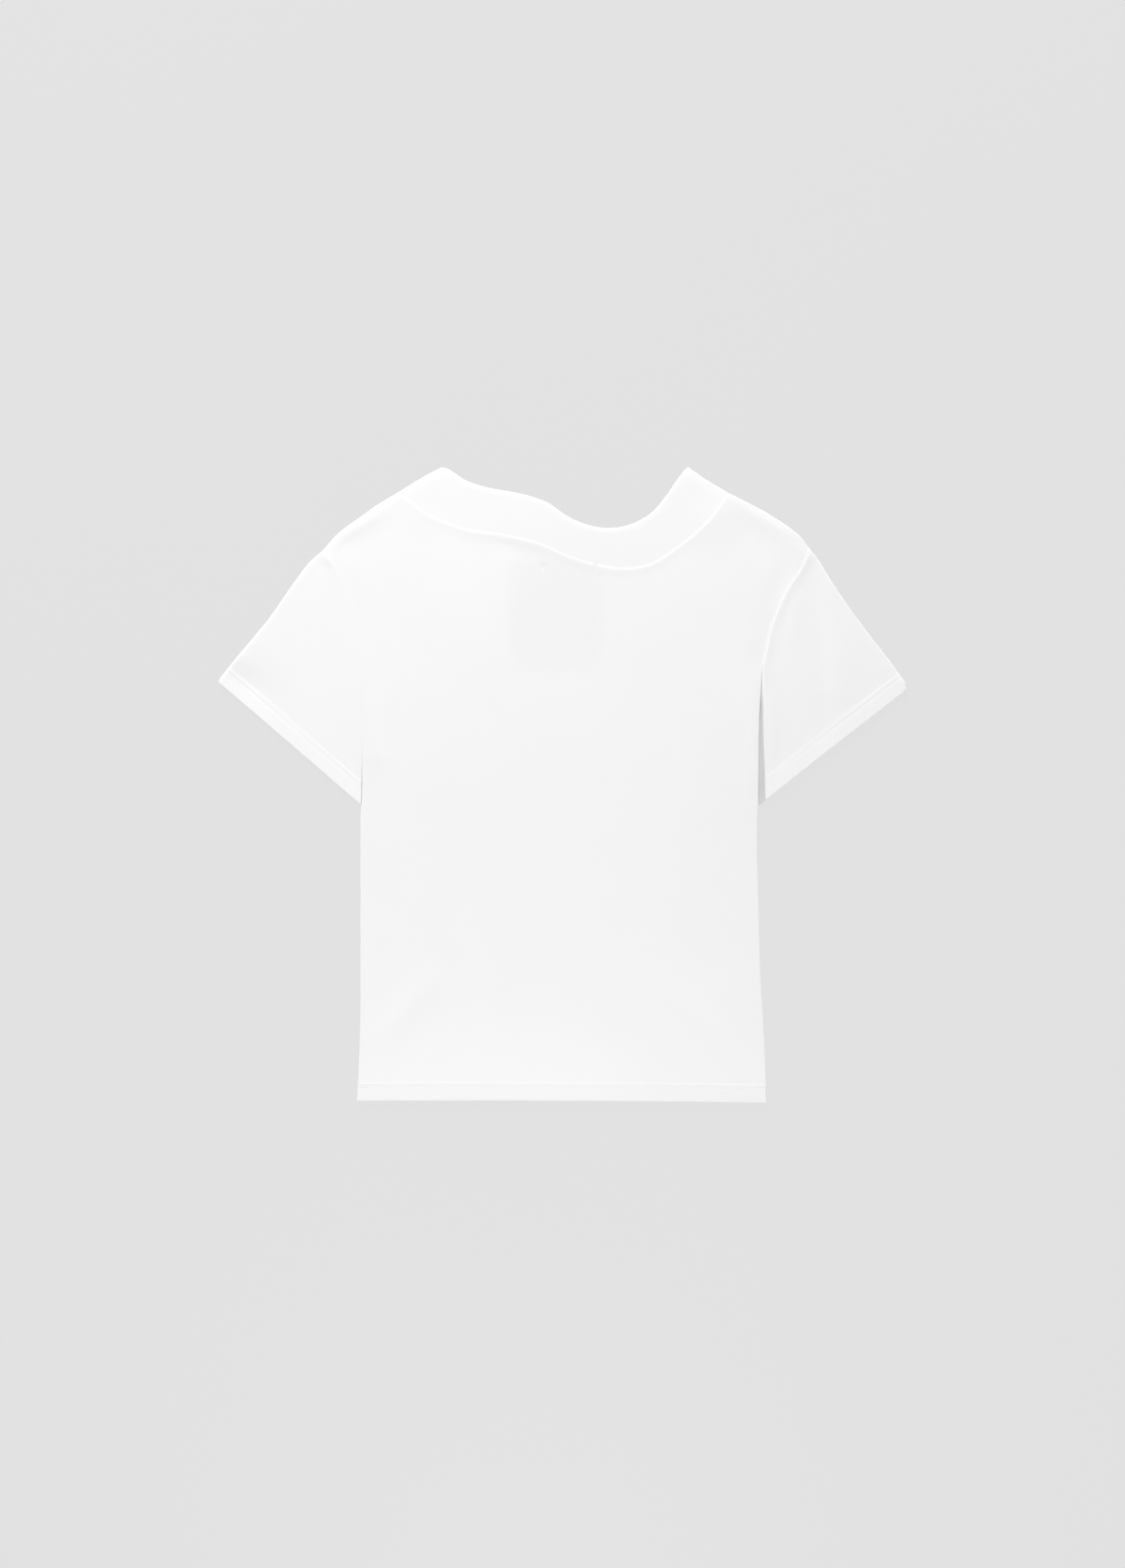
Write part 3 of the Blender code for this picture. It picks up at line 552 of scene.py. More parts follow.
# ---- the two sides of the body ----
class Side:
    """One side: the body's edge, its armhole, the sleeve's fold, its cuff and the crease."""

    def __init__(self, sign, edge, shoulder, sleeve, cuff, crease, band_fold):
        self.sign = sign
        self.name = "left" if sign < 0 else "right"
        names = [row[0] for row in edge]
        self.places, self.knots = points(edge).T
        self.hem_y, self.underarm, self.crease_top = (
            self.knots[names.index(name)] for name in ("hem corner", "underarm", "crease top")
        )
        self.tip = points(edge)[-1]
        self.shoulder = Curve(shoulder)
        self.sleeve = Curve(sleeve)
        self.cuff = Curve(cuff)
        self.armhole = Curve(edge[names.index("sleeve end") :])
        self.crease_y, self.crease_width = points(crease)[::-1].T
        self.band_fold = Curve(band_fold)
        # the fold at the tip runs back along the armhole
        below = self.tip[1] - TIP_RUN
        self.tip_in = unit(np.array([float(self.x(below)), below]) - self.tip)

    def x(self, y):
        return through(self.knots, self.places, y)

    def inward(self, y):
        """Direction into the body, square to its edge."""
        slope = (self.x(y + 1.0) - self.x(y - 1.0)) / 2.0
        way = np.stack([-self.sign + 0 * slope, self.sign * slope], -1)
        return way / np.linalg.norm(way, axis=-1, keepdims=True)

    def inside(self, y, inset):
        """Plan places on the body's edge at y, moved into the body."""
        return np.stack([self.x(y), y], -1) + self.inward(y) * inset[:, None]

    def turn(self, y):
        """How far the edge is turned down: a quarter turn at the side, none on the armhole."""
        return QUARTER_TURN * np.clip((self.crease_top - y) / (self.crease_top - self.underarm), 0, 1)

    def lean(self, y):
        """How far a wall that is turned down leans out past its middle."""
        return CLOTH / 2 * np.sin(self.turn(y - CREASE_LEAD))

    def roll_reach(self, y):
        """Plan width of the strip along the body's edge, narrower beside the crease."""
        turn = np.maximum(self.turn(y), LEAST_TURN)
        beside = np.clip((y - self.crease_y[0] + TIGHT_RUN) / TIGHT_RUN, 0, 1)
        return ROLL * QUARTER_TURN * np.sin(turn) / turn * (1 - CREASE_TIGHT * beside)

    def drawn_back(self, y, top, depth):
        """How far the body's rolled edge draws back from its outline at a depth below its face."""
        turn = np.maximum(self.turn(y), LEAST_TURN)
        drop = (top - SEAM_Z) * drop_share(turn)
        cosine = 1 - np.clip(depth / drop, 0, 1) * (1 - np.cos(turn))
        return self.roll_reach(y) * (1 - np.sqrt(1 - cosine**2) / np.sin(turn))

    def parting(self, y):
        """Half the gap between the layers at the edge, wider where the crease opens it."""
        return GAP / 2 + CREASE_PART * np.maximum(0.0, 1 - abs(y - self.underarm) / CREASE_RUN)

    def stand_off(self, y, upper):
        """How far the sleeve's fold beside the crease stands back from the body."""
        if upper:
            return through(self.crease_y, self.crease_width, np.maximum(y, self.crease_y[0]))
        return ROLL * np.clip((self.crease_top - y) / LOW_CREASE, 0, 1)

    def crease_bank(self, y, share, upper):
        """Places on the sleeve's bank in the crease, at shares of its steps from the crest to the body:
        their x, their shares of its drop, and how far across the low strip beside the body they are."""
        off = self.stand_off(y, upper)
        shelf = SHELF_SHARE * np.clip((off - ROLL) / ROLL, 0, 1)
        across, down = bend(self.turn(y), np.minimum(1, share / (1 - shelf)))
        on_shelf = np.clip((share - 1 + shelf) / np.maximum(shelf, 1e-6), 0, 1) * (shelf > 0)
        width = np.where(shelf > 0, np.minimum(off, ROLL), off)
        from_body = off - width * across - (off - width) * on_shelf
        return self.base(y) + self.sign * from_body, down, on_shelf

    def base(self, y):
        """Where the sleeve's middle meets the body's edge, across the seam's gap."""
        return self.x(y) + self.sign * (GAP + self.lean(y))

    def cuff_y(self, x):
        order = np.argsort(self.cuff.dense[:, 0])
        return np.interp(x, self.cuff.dense[order, 0], self.cuff.dense[order, 1])

    def rows(self):
        """Heights of the body's rows on this side, hem to shoulder, the same number on both."""
        top = (self.tip + self.tip_in * TIP_REACH)[1]
        rim = self.hem_y + RIM[-1]
        marks = (
            (rim, self.hem_y + HEM_FINE, HEM_ROWS),
            (self.hem_y + HEM_FINE, self.underarm, SIDE_ROWS),
            (self.underarm, self.crease_top, CREASE_ROWS),
            (self.crease_top, top - TOP_RUN, ARM_ROWS),
            (top - TOP_RUN, top, TOP_ROWS),
        )
        runs = [np.linspace(a, b, n + 1)[1:] for a, b, n in marks]
        return np.concatenate([self.hem_y + np.array(RIM)] + runs)


LEFT = Side(-1, LEFT_EDGE, LEFT_SHOULDER, LEFT_SLEEVE, LEFT_CUFF, LEFT_CREASE, LEFT_BAND_FOLD)
RIGHT = Side(1, RIGHT_EDGE, RIGHT_SHOULDER, RIGHT_SLEEVE, RIGHT_CUFF, RIGHT_CREASE, RIGHT_BAND_FOLD)
BACK_NECK_SEAM = Curve(BACK_SEAM)
FRONT_NECK_SEAM = Curve(FRONT_SEAM)


class Neck:
    """The neckband's seam and the neckline of one layer."""

    def __init__(self, seam, line):
        self.seam = seam
        self.line = Curve(line)
        start = []
        for side, at_end in ((LEFT, False), (RIGHT, True)):
            for curve, s_fold in ((self.seam, 0.0), (self.line, side.band_fold.length)):
                s = curve.length if at_end else 0.0
                inward = curve.direction(s) * (-1 if at_end else 1)
                along = side.band_fold.direction(s_fold)
                square = abs(along[0] * inward[1] - along[1] * inward[0])
                start.append(FOLD_IN / max(square, MIN_SQUARE))
        seam_a, line_a, seam_b, line_b = start
        self.seam_s = np.linspace(seam_a, self.seam.length - seam_b, NECK_COLS + 1)
        self.line_s = np.linspace(line_a, self.line.length - line_b, NECK_COLS + 1)

    def seam_points(self, offset=0.0):
        """Points of the seam, moved off it towards the neckline."""
        d = self.seam.direction(self.seam_s)
        return self.seam.at(self.seam_s) + offset * np.stack([-d[:, 1], d[:, 0]], -1)


BACK_NECK = Neck(BACK_NECK_SEAM, BACK_NECKLINE)
FRONT_NECK = Neck(FRONT_NECK_SEAM, FRONT_NECKLINE)


def middle(plan, upper):
    """Height of the middle of the upper or the lower layer's cloth at places of the plan."""
    if not upper:
        return UNDER + soft_folds(plan, UNDER_FOLDS)
    z = LAY + soft_folds(plan, FOLDS)
    for side in (LEFT, RIGHT):
        seam = seam_ridge(side.sign * side.armhole.aside(plan), side.name + " armhole")
        z += seam * fading((side.crease_top - ARMHOLE_END - plan[..., 1]) / ARMHOLE_FADE)
        to_fold = np.minimum(side.shoulder.distance(plan), side.band_fold.distance(plan))
        z -= ridge(to_fold, *SHOULDER_ROUND)
        on_sleeve = side.sign * plan[..., 0] > abs(side.x(plan[..., 1])) + 1.0
        z += hem_step(np.where(on_sleeve, side.cuff.distance(plan), np.inf))
    z += seam_ridge(BACK_NECK_SEAM.aside(plan), "neck")
    return z + hem_step(plan[..., 1] - hem_line(plan[..., 0]))


# ---- the strips along folded edges ----
def strip(inner, edge, top, foot, turn=QUARTER_TURN):
    """Rows of points from an inner line, bent down to its edge; a whole roll would end at foot."""
    s = np.linspace(0, 1, ROLL_STEPS + 1)[1:, None]
    across, down = bend(turn, s)
    plan = inner + (edge - inner) * across[..., None]
    return lifted(plan, top - (top - foot) * drop_share(turn) * down)


def joined(upper, lower):
    """The rows of both layers as rings, over the fold between them."""
    return np.concatenate([upper, lower[:, -2::-1]], 1)


def shoulder_strip(side, neck_end):
    """The shoulder's fold: its outer edge, the line inside it and the layers' parting."""
    curve, t = side.shoulder, SHOULDER_SHARES[:, None]
    s = SHOULDER_SHARES * curve.length
    normal = square_to(curve.direction(s), side.tip_in)
    out = curve.at(s)
    to_neck = neck_end - curve.at(curve.length)
    a, b = end_shares(t, SHOULDER_ENDS)
    way = normal * (1 - a - b) * FOLD_IN + side.tip_in * TIP_REACH * a + to_neck * b
    parting = GAP / 2 + END_PART * np.maximum(*end_shares(SHOULDER_SHARES, PART_ENDS))
    return out + normal * CLOTH / 2, out + way, parting


def panel(upper, neck):
    """Points of the back or the front panel, hem to neck and side to side, with rolled edges.
    The rows above the last one are the shoulders' strips; there the neck's columns are empty."""
    q, n = ROLL_STEPS, len(SHOULDER_SHARES)
    rows = {side: side.rows() for side in (LEFT, RIGHT)}
    count = len(rows[LEFT])
    seam = neck.seam_points()

    def foot(parting):
        return SEAM_Z + parting if upper else SEAM_Z - parting

    left_out, left_in, left_part = shoulder_strip(LEFT, seam[0])
    right_out, right_in, right_part = (row[::-1] for row in shoulder_strip(RIGHT, seam[-1]))
    top_in = np.concatenate([left_in, seam[1:-1], right_in])
    # the plan inside the rolled edges
    sides = []
    for side, corner in ((LEFT, left_in[q]), (RIGHT, right_in[-q - 1])):
        y = rows[side]
        line = side.inside(y, side.lean(y) + side.roll_reach(y))
        share = np.clip(1 - (y[-1] - y) / TOP_RUN, 0, 1)
        sides.append(line + (corner - line[-1]) * share[:, None])
    inner_top = top_in[q:-q]
    hem_x = sides[0][0, 0] + (sides[1][0, 0] - sides[0][0, 0]) * fractions(inner_top)
    hem = np.stack([hem_x, hem_line(hem_x)], -1)
    hem[0], hem[-1] = sides[0][0], sides[1][0]
    plan = patch(hem, inner_top, *sides)
    z = middle(plan, upper)
    grid = np.full((count + q, len(top_in), 3), np.nan)
    grid[:count, q:-q] = lifted(plan, z)
    # the strips at the two sides, the upper rows of the armhole being level
    for side, k, columns in ((LEFT, 0, range(q)[::-1]), (RIGHT, -1, range(-q, 0))):
        y = rows[side]
        edge = side.inside(y, side.lean(y))
        done = strip(plan[:, k], edge, z[:, k], foot(side.parting(y)), side.turn(y))
        grid[:count, list(columns)] = done.transpose(1, 0, 2)
    columns = [*range(q), *range(-q, 0)]
    ends = top_in[columns]
    grid[count - 1, columns] = lifted(ends, middle(ends, upper))
    # the strips along the shoulders
    for span, out, inner, part in (
        (slice(n), left_out, left_in, left_part),
        (slice(-n, None), right_out, right_in, right_part),
    ):
        grid[count:, span] = strip(inner, out, grid[count - 1, span, 2], foot(part))
    return grid


def bank_points(side, steps, upper):
    """Rows of points down the sleeve's bank in the underarm crease, from its crest to the body,
    and how much painted shade each point gets deep in the crease, from 0 to 1."""
    across = np.linspace(0, 1, CREASE_STEPS + 1)
    starts = np.linspace(side.crease_top, side.underarm, CREASE_STEPS + 1)
    ends = np.full(CREASE_STEPS + 1, side.cuff.dense[-1, 1])
    for _ in range(CREASE_ROUNDS):
        ends = side.cuff_y(side.crease_bank(ends, across, upper)[0])
    y = starts + (ends - starts) * steps[:, None]
    share = np.minimum(1.0, across / np.maximum(side.turn(y) / QUARTER_TURN, 1e-6))
    share[0] = 1.0
    x, down, on_shelf = side.crease_bank(y, share, upper)
    off = side.stand_off(y, upper)
    crest = middle(np.stack([side.base(y) + side.sign * off, y], -1), upper)
    body_edge = middle(np.stack([side.x(y), y], -1), upper)
    low = crest - (crest - SEAM_Z) * drop_share(side.turn(y))
    opened = np.clip((off - ROLL) / ROLL, 0, 1) * upper
    low += np.maximum(0.0, body_edge - SHELF_DEPTH - low) * opened
    # the strip's end lies close under the body's rolled edge
    seamless = np.clip((y - side.underarm) / OPEN_SEAM_RUN, 0, 1)
    tuck = side.drawn_back(y, body_edge, SHELF_DEPTH + CLOTH / 2 * seamless)
    tuck += side.lean(y) * seamless
    tuck *= np.clip((side.crease_top - TUCK_START - y) / TUCK_RUN, 0, 1)
    x -= side.sign * tuck * on_shelf * opened
    z = crest - (crest - low) * down - SHELF_DIP * np.sin(math.pi * on_shelf)
    return lifted(np.stack([x, y], -1), z), np.clip(CREASE_DARKENS * down, 0, 1) * opened


def sleeve(side):
    """Rings of a sleeve from armhole to cuff: over the arm, round the underarm and back below.
    With them comes how much painted shade each point gets in the underarm crease."""
    steps = stops(SLEEVE_LENGTH, SEAM_FINE, HEM_FINE) / SLEEVE_LENGTH
    top = (side.tip + side.tip_in * TIP_REACH)[1]
    arm = top - stops(top - side.crease_top)
    low_run, high_run = LAP_RUNS
    lap = np.clip(np.minimum((arm - side.crease_top) / low_run, (top - arm) / high_run), 0, 1)
    armhole = side.inside(arm, (SEAM_LAP + GAP) * lap - GAP)
    # the fold along the top of the sleeve
    s = steps * side.sleeve.length
    normal = square_to(side.sleeve.direction(s), side.tip_in)
    cuff_in = unit(side.cuff.at(CUFF_RUN) - side.cuff.at(0.0))
    a, b = end_shares(steps[:, None], SLEEVE_ENDS)
    fold = side.sleeve.at(s)
    fold[0] += unit(side.sleeve.direction(0.0)) * GAP
    outer = fold + normal * FOLD_IN * (1 - a - b) + side.tip_in * TIP_REACH * a + cuff_in * FOLD_IN * b
    out_edge = fold + normal * CLOTH / 2
    armhole[0] = outer[0] = fold[0] + side.tip_in * TIP_REACH
    layers, shades = [], []
    for upper in (True, False):
        bank, shade = bank_points(side, steps, upper)
        inner = bank[:, 0, :2].copy()
        inner[0] = armhole[-1]
        # the cuff between the two folds
        x = np.linspace(outer[-1, 0], inner[-1, 0], len(arm))
        cuff = np.stack([x, side.cuff_y(x)], -1)
        cuff[0], cuff[-1] = outer[-1], inner[-1]
        plan = patch(armhole, cuff, outer, inner)
        z = middle(plan, upper) + ridge(side.armhole.distance(plan), SEAM_TUCK, SEAM_TUCK_RUN)
        roll = strip(plan[:, 0], out_edge, z[:, 0], SEAM_Z).transpose(1, 0, 2)
        layers.append(np.concatenate([roll[:, ::-1], lifted(plan, z), bank[:, 1:]], 1))
        shades.append(np.pad(shade, ((0, 0), (layers[-1].shape[1] - shade.shape[1], 0))))
    corner = side.sleeve.at(side.sleeve.length)
    inward = unit(side.cuff.direction(0.0) - side.sleeve.direction(side.sleeve.length))
    ring = drawn_in(joined(*layers), corner, inward, CUFF_POINT[side.name])
    return ring, joined(*shades)


def neckband():
    """Rings of the neckband: across the back, round the fold and back along the front."""
    steps = stops(BAND_WIDTH, SEAM_FINE, NECKLINE_FINE) / BAND_WIDTH
    t = steps[:, None]
    layers = []
    for upper, neck in ((True, BACK_NECK), (False, FRONT_NECK)):
        seam, line = neck.seam_points(-SEAM_LAP), neck.line.at(neck.line_s)
        out_edge, inset = {}, {}
        for side, k in ((LEFT, 0), (RIGHT, -1)):
            fold = side.band_fold
            s = steps * fold.length
            first_way, last_way = seam[k] - fold.at(0.0), line[k] - fold.at(fold.length)
            along = fold.direction(s)
            out = fold.at(s) - along * (SEAM_LAP * (1 - t) + BAND / 4 * t)
            out_edge[k] = out + square_to(along, first_way) * (BAND / 2 + SEAM_TUCK * (1 - t))
            inset[k] = fold.at(s) + first_way * (1 - t) + last_way * t
        plan = patch(seam, line, inset[0], inset[-1])
        z = middle(plan, upper) + ((BAND - CLOTH) / 2 + SEAM_TUCK) * (-1 if upper else 1)
        if upper:
            z -= ridge(neck.line.distance(plan), *BAND_ROUND)
        left, right = (strip(plan[:, k], out_edge[k], z[:, k], SEAM_Z) for k in (0, -1))
        rolls = left[::-1].transpose(1, 0, 2), right.transpose(1, 0, 2)
        layers.append(np.concatenate([rolls[0], lifted(plan, z), rolls[1]], 1))
    band = joined(*layers)
    line = BACK_NECK.line
    for side, line_way in ((LEFT, line.direction(0.0)), (RIGHT, -line.direction(line.length))):
        fold = side.band_fold
        inward = unit(line_way - fold.direction(fold.length))
        band = drawn_in(band, fold.at(fold.length), inward, NECK_POINT)
    return band


# ---- meshes ----
def lengths(grid, axis):
    """Length along the cloth in mm, by rows (0) or by columns (1)."""
    steps = np.nan_to_num(np.linalg.norm(np.diff(grid, axis=axis), axis=-1))
    first = np.zeros_like(np.take(steps, [0], axis=axis))
    return np.concatenate([first, np.cumsum(steps, axis=axis)], axis)


def finish_piece(work, name, material):
    """The bmesh as an object at the origin."""
    mesh = bpy.data.meshes.new(name)
    work.to_mesh(mesh)
    work.free()
    mesh.shade_smooth()
    mesh.materials.append(material)
    piece = bpy.data.objects.new(name, mesh)
    bpy.context.scene.collection.objects.link(piece)
    return piece


def cloth(name, grid, cut, wall, material, from_rim, tube=False, crease=None):
    """A shell on rows of points, with its own flat pattern in the map named cut, in metres.
    from_rim is each point's distance from the edge that is rounded, a hem or the neckline,
    and crease is how much painted shade each point gets in the underarm crease, from 0 to 1."""
    work = bmesh.new()
    rows, cols = grid.shape[:2]
    bmesh.ops.create_grid(work, x_segments=cols - 1, y_segments=rows - 1, size=1.0)
    pattern = work.loops.layers.uv.new("cut")
    thin = work.verts.layers.deform.verify()
    # the crease attribute carries the painted shade deep in the underarm crease
    deep = work.verts.layers.float.new("crease")
    crease_shades = np.zeros(rows * cols) if crease is None else crease.reshape(-1)
    flat = cut.reshape(-1, 2) * MM
    shares = np.clip(from_rim.reshape(-1) / (wall / 2), LEAST_WALL, 1.0)
    shares = np.sqrt(1 - (1 - shares) ** 2)
    for vert, place, share, depth in zip(work.verts, grid.reshape(-1, 3) * MM, shares, crease_shades):
        vert.co = place
        vert[thin][0] = float(share)
        vert[deep] = float(depth)
    for face in work.faces:
        for loop in face.loops:
            loop[pattern].uv = flat[loop.vert.index]
    empty = [vert for vert in work.verts if math.isnan(vert.co.x)]
    bmesh.ops.delete(work, geom=empty, context="VERTS")
    if tube:
        bmesh.ops.remove_doubles(work, verts=work.verts[:], dist=1e-6)
    bmesh.ops.recalc_face_normals(work, faces=work.faces[:])
    piece = finish_piece(work, name, material)
    solid = piece.modifiers.new("wall", "SOLIDIFY")
    solid.thickness = wall * MM
    solid.offset = 0.0
    solid.use_even_offset = False
    solid.use_quality_normals = True
    solid.vertex_group = piece.vertex_groups.new(name="rounded rim").name
    return with_crisp_rims(piece)


def with_crisp_rims(piece):
    """The piece with its wall made real, smooth on its faces and crisp where a cut edge turns."""
    depsgraph = bpy.context.evaluated_depsgraph_get()
    walled = bpy.data.meshes.new_from_object(piece.evaluated_get(depsgraph), depsgraph=depsgraph)
    piece.modifiers.clear()
    piece.data = walled
    walled.name = piece.name
    walled.set_sharp_from_angle(angle=SHARP)
    return piece


# ---- stitches ----
def needle_row(grid, heights, distance):
    """The line on the cloth at one distance from its hem, and the way up the cloth there."""
    line, above = [], []
    for col in range(grid.shape[1]):
        for out, s in ((line, distance), (above, distance + ABOVE)):
            out.append(place_at(s, heights[:, col], grid[:, col]))
    return np.array(line), np.array(above)


def stitch_places(line, above, wall, outward):
    """Where each stitch of a row lies: a short thread along the row, sunk half into the cloth.
    There are none where the piece is shorter than the row's distance from its hem."""
    run = run_along(line)
    count = int(run[-1] / STITCH)
    pitch = run[-1] / count
    half = pitch * STITCH_SHARE / 2
    for i in range(count):
        s = (i + 0.5) * pitch
        before, on_line, after = place_at([max(s - 1.0, 0.0), s, min(s + 1.0, run[-1])], run, line)
        up = place_at(s, run, above) - on_line
        if np.linalg.norm(up) < LEAST_ABOVE:
            continue
        along = unit(after - before)
        normal = outward * unit(np.cross(along, up))
        side = np.cross(normal, along)
        centre = on_line + normal * (wall / 2 + THREAD * THREAD_LIFT)
        centre[2] = max(centre[2], abs(along[2]) * half + THREAD / 2)
        axes = (side * THREAD / 2, normal * THREAD * THREAD_FLAT / 2, along * half)
        yield Matrix(
            [[float(axis[k]) * MM for axis in axes] + [float(centre[k]) * MM] for k in range(3)]
            + [[0.0, 0.0, 0.0, 1.0]]
        )


def twin_needle(name, grid, heights, wall, outward, material):
    """The two rows of stitches along a hem, sewn in short runs."""
    work = bmesh.new()
    for distance in NEEDLES:
        places = list(stitch_places(*needle_row(grid, heights, distance), wall, outward))
        for first in range(0, len(places), STITCH_RUN):
            run = bmesh.new()
            for place in places[first : first + STITCH_RUN]:
                bmesh.ops.create_uvsphere(run, u_segments=6, v_segments=4, radius=1.0, matrix=place)
            short = bpy.data.meshes.new("run")
            run.to_mesh(short)
            run.free()
            work.from_mesh(short)
            bpy.data.meshes.remove(short)
    return finish_piece(work, name, material)


# ---- materials ----
def operator(operation, swapped=False):
    """A method that puts a socket and its operands through one maths node."""

    def method(self, *others):
        values = (*others, self) if swapped else (self, *others)
        return self.maker.node("ShaderNodeMath", {"operation": operation}, dict(enumerate(values)))

    return method


class Value:
    """A socket of a material, with its maths written as expressions."""

    def __init__(self, maker, socket):
        self.maker, self.socket = maker, socket

    __add__, __radd__ = operator("ADD"), operator("ADD", swapped=True)
    __sub__, __rsub__ = operator("SUBTRACT"), operator("SUBTRACT", swapped=True)
    __mul__, __rmul__ = operator("MULTIPLY"), operator("MULTIPLY", swapped=True)
    __truediv__, __abs__ = operator("DIVIDE"), operator("ABSOLUTE")
    sine, exponent = operator("SINE"), operator("EXPONENT")

    def fall(self, centre, spread):
        """One at the centre, falling off smoothly to nothing over the spread."""
        off = (self - centre) / spread
        return (off * off * -1.0).exponent()

    def step(self, low, high):
        """A smooth step from 0 at low to 1 at high."""
        return self.maker.node(
            "ShaderNodeMapRange", {"interpolation_type": "SMOOTHSTEP"}, {0: self, 1: low, 2: high}
        )


class Maker:
    """Makes the nodes of one material, or of the studio's light, round its shader."""

    def __init__(self, tree, shader="Principled BSDF"):
        self.tree = tree
        self.shader = tree.nodes[shader]

    def node(self, kind, settings, sockets, out=0):
        made = self.tree.nodes.new(kind)
        for key, value in settings.items():
            setattr(made, key, value)
        for key, value in sockets.items():
            self.put(made.inputs[key], value)
        return Value(self, made.outputs[out])

    def put(self, socket, value):
        if isinstance(value, Value):
            self.tree.links.new(value.socket, socket)
        else:
            socket.default_value = value

    def set(self, **values):
        for key, value in values.items():
            self.put(self.shader.inputs[key.replace("_", " ")], value)

    def in_mm(self, vector):
        """The first two parts of a vector in metres, in mm."""
        parts = self.node("ShaderNodeSeparateXYZ", {}, {0: vector})
        return parts * 1000.0, Value(self, parts.socket.node.outputs[1]) * 1000.0

    def noise(self, vector, scale, detail=2.0, roughness=0.5):
        sockets = {"Vector": vector, "Scale": scale, "Detail": detail, "Roughness": roughness}
        return self.node("ShaderNodeTexNoise", {}, sockets)

    def bump(self, height, distance):
        """A relief's normal, for heights in parts of a distance in metres."""
        sockets = {"Strength": BUMP, "Distance": distance, "Height": height}
        return self.node("ShaderNodeBump", {}, sockets)

    def grey(self, value):
        return self.node("ShaderNodeCombineColor", {}, {0: value, 1: value, 2: value})


WHITE = 0.9
THREAD_WHITE = 0.88
BUMP = 0.3           # strength of every relief
CLOTH_RELIEF = 0.001     # height of a whole step of the cloth's relief, in metres
THREAD_RELIEF = 0.0002   # the same of the thread's twist
# How strong each part of the cloth's relief is, in such steps.
KNIT, FUZZ, SLUB, GROOVE, PULL = 0.05, 0.03, 0.02, 0.12, 0.02
GROOVE_SPREAD, PULL_SPREAD = 0.55, 1.6   # how far a needle row's groove and its pull spread
GROOVE_SHADE = 0.02  # how much darker the grooves are painted, a painted shade in them
HEM_FADE = (11.0, 17.0)      # the hem's own brightness ends over this stretch
# How much the hems are painted brighter: brighter on the sleeves' doubled cloth, a little darker along
# the body's hem.
BODY_HEM, CUFF_HEM = -0.008, 0.02
LABEL_X, LABEL_Y = -7.6, 170.0   # middle of the hidden label's shade on the back
LABEL_HALF_WIDTH, LABEL_HALF_LENGTH = 45.0, 60.0
LABEL_SHADE = 0.027  # how much darker the back is painted over the label, a painted shade
LABEL_FADE = (0.05, 1.9)     # how softly that ends, from its middle to past its sides
# The dimples where the hidden label's corners are tacked: x, y, half width, half length.
TACKS = ((-19.5, 209.0, 2.4, 3.2), (31.0, 208.5, 1.5, 4.5))
TACK_DEPTH = 1.8
CREASE_SHADE = 0.27  # how much darker the cloth is painted deep in the underarm crease, a painted shade
WALE = 0.66          # from one wale of the knit to the next
COURSE = 0.5         # from one course to the next


def new_material(name):
    material = bpy.data.materials.new(name)
    material.use_nodes = True
    return material, Maker(material.node_tree)


def knit(maker, around, up):
    """Relief of the jersey's face, from 0 to 1: rounded columns with small V loops along them."""
    column = abs((around * (math.pi / WALE)).sine())
    loops = ((up / COURSE + column * 0.5) * (2 * math.pi)).sine()
    return column * 0.65 + loops * column * 0.2 + 0.15


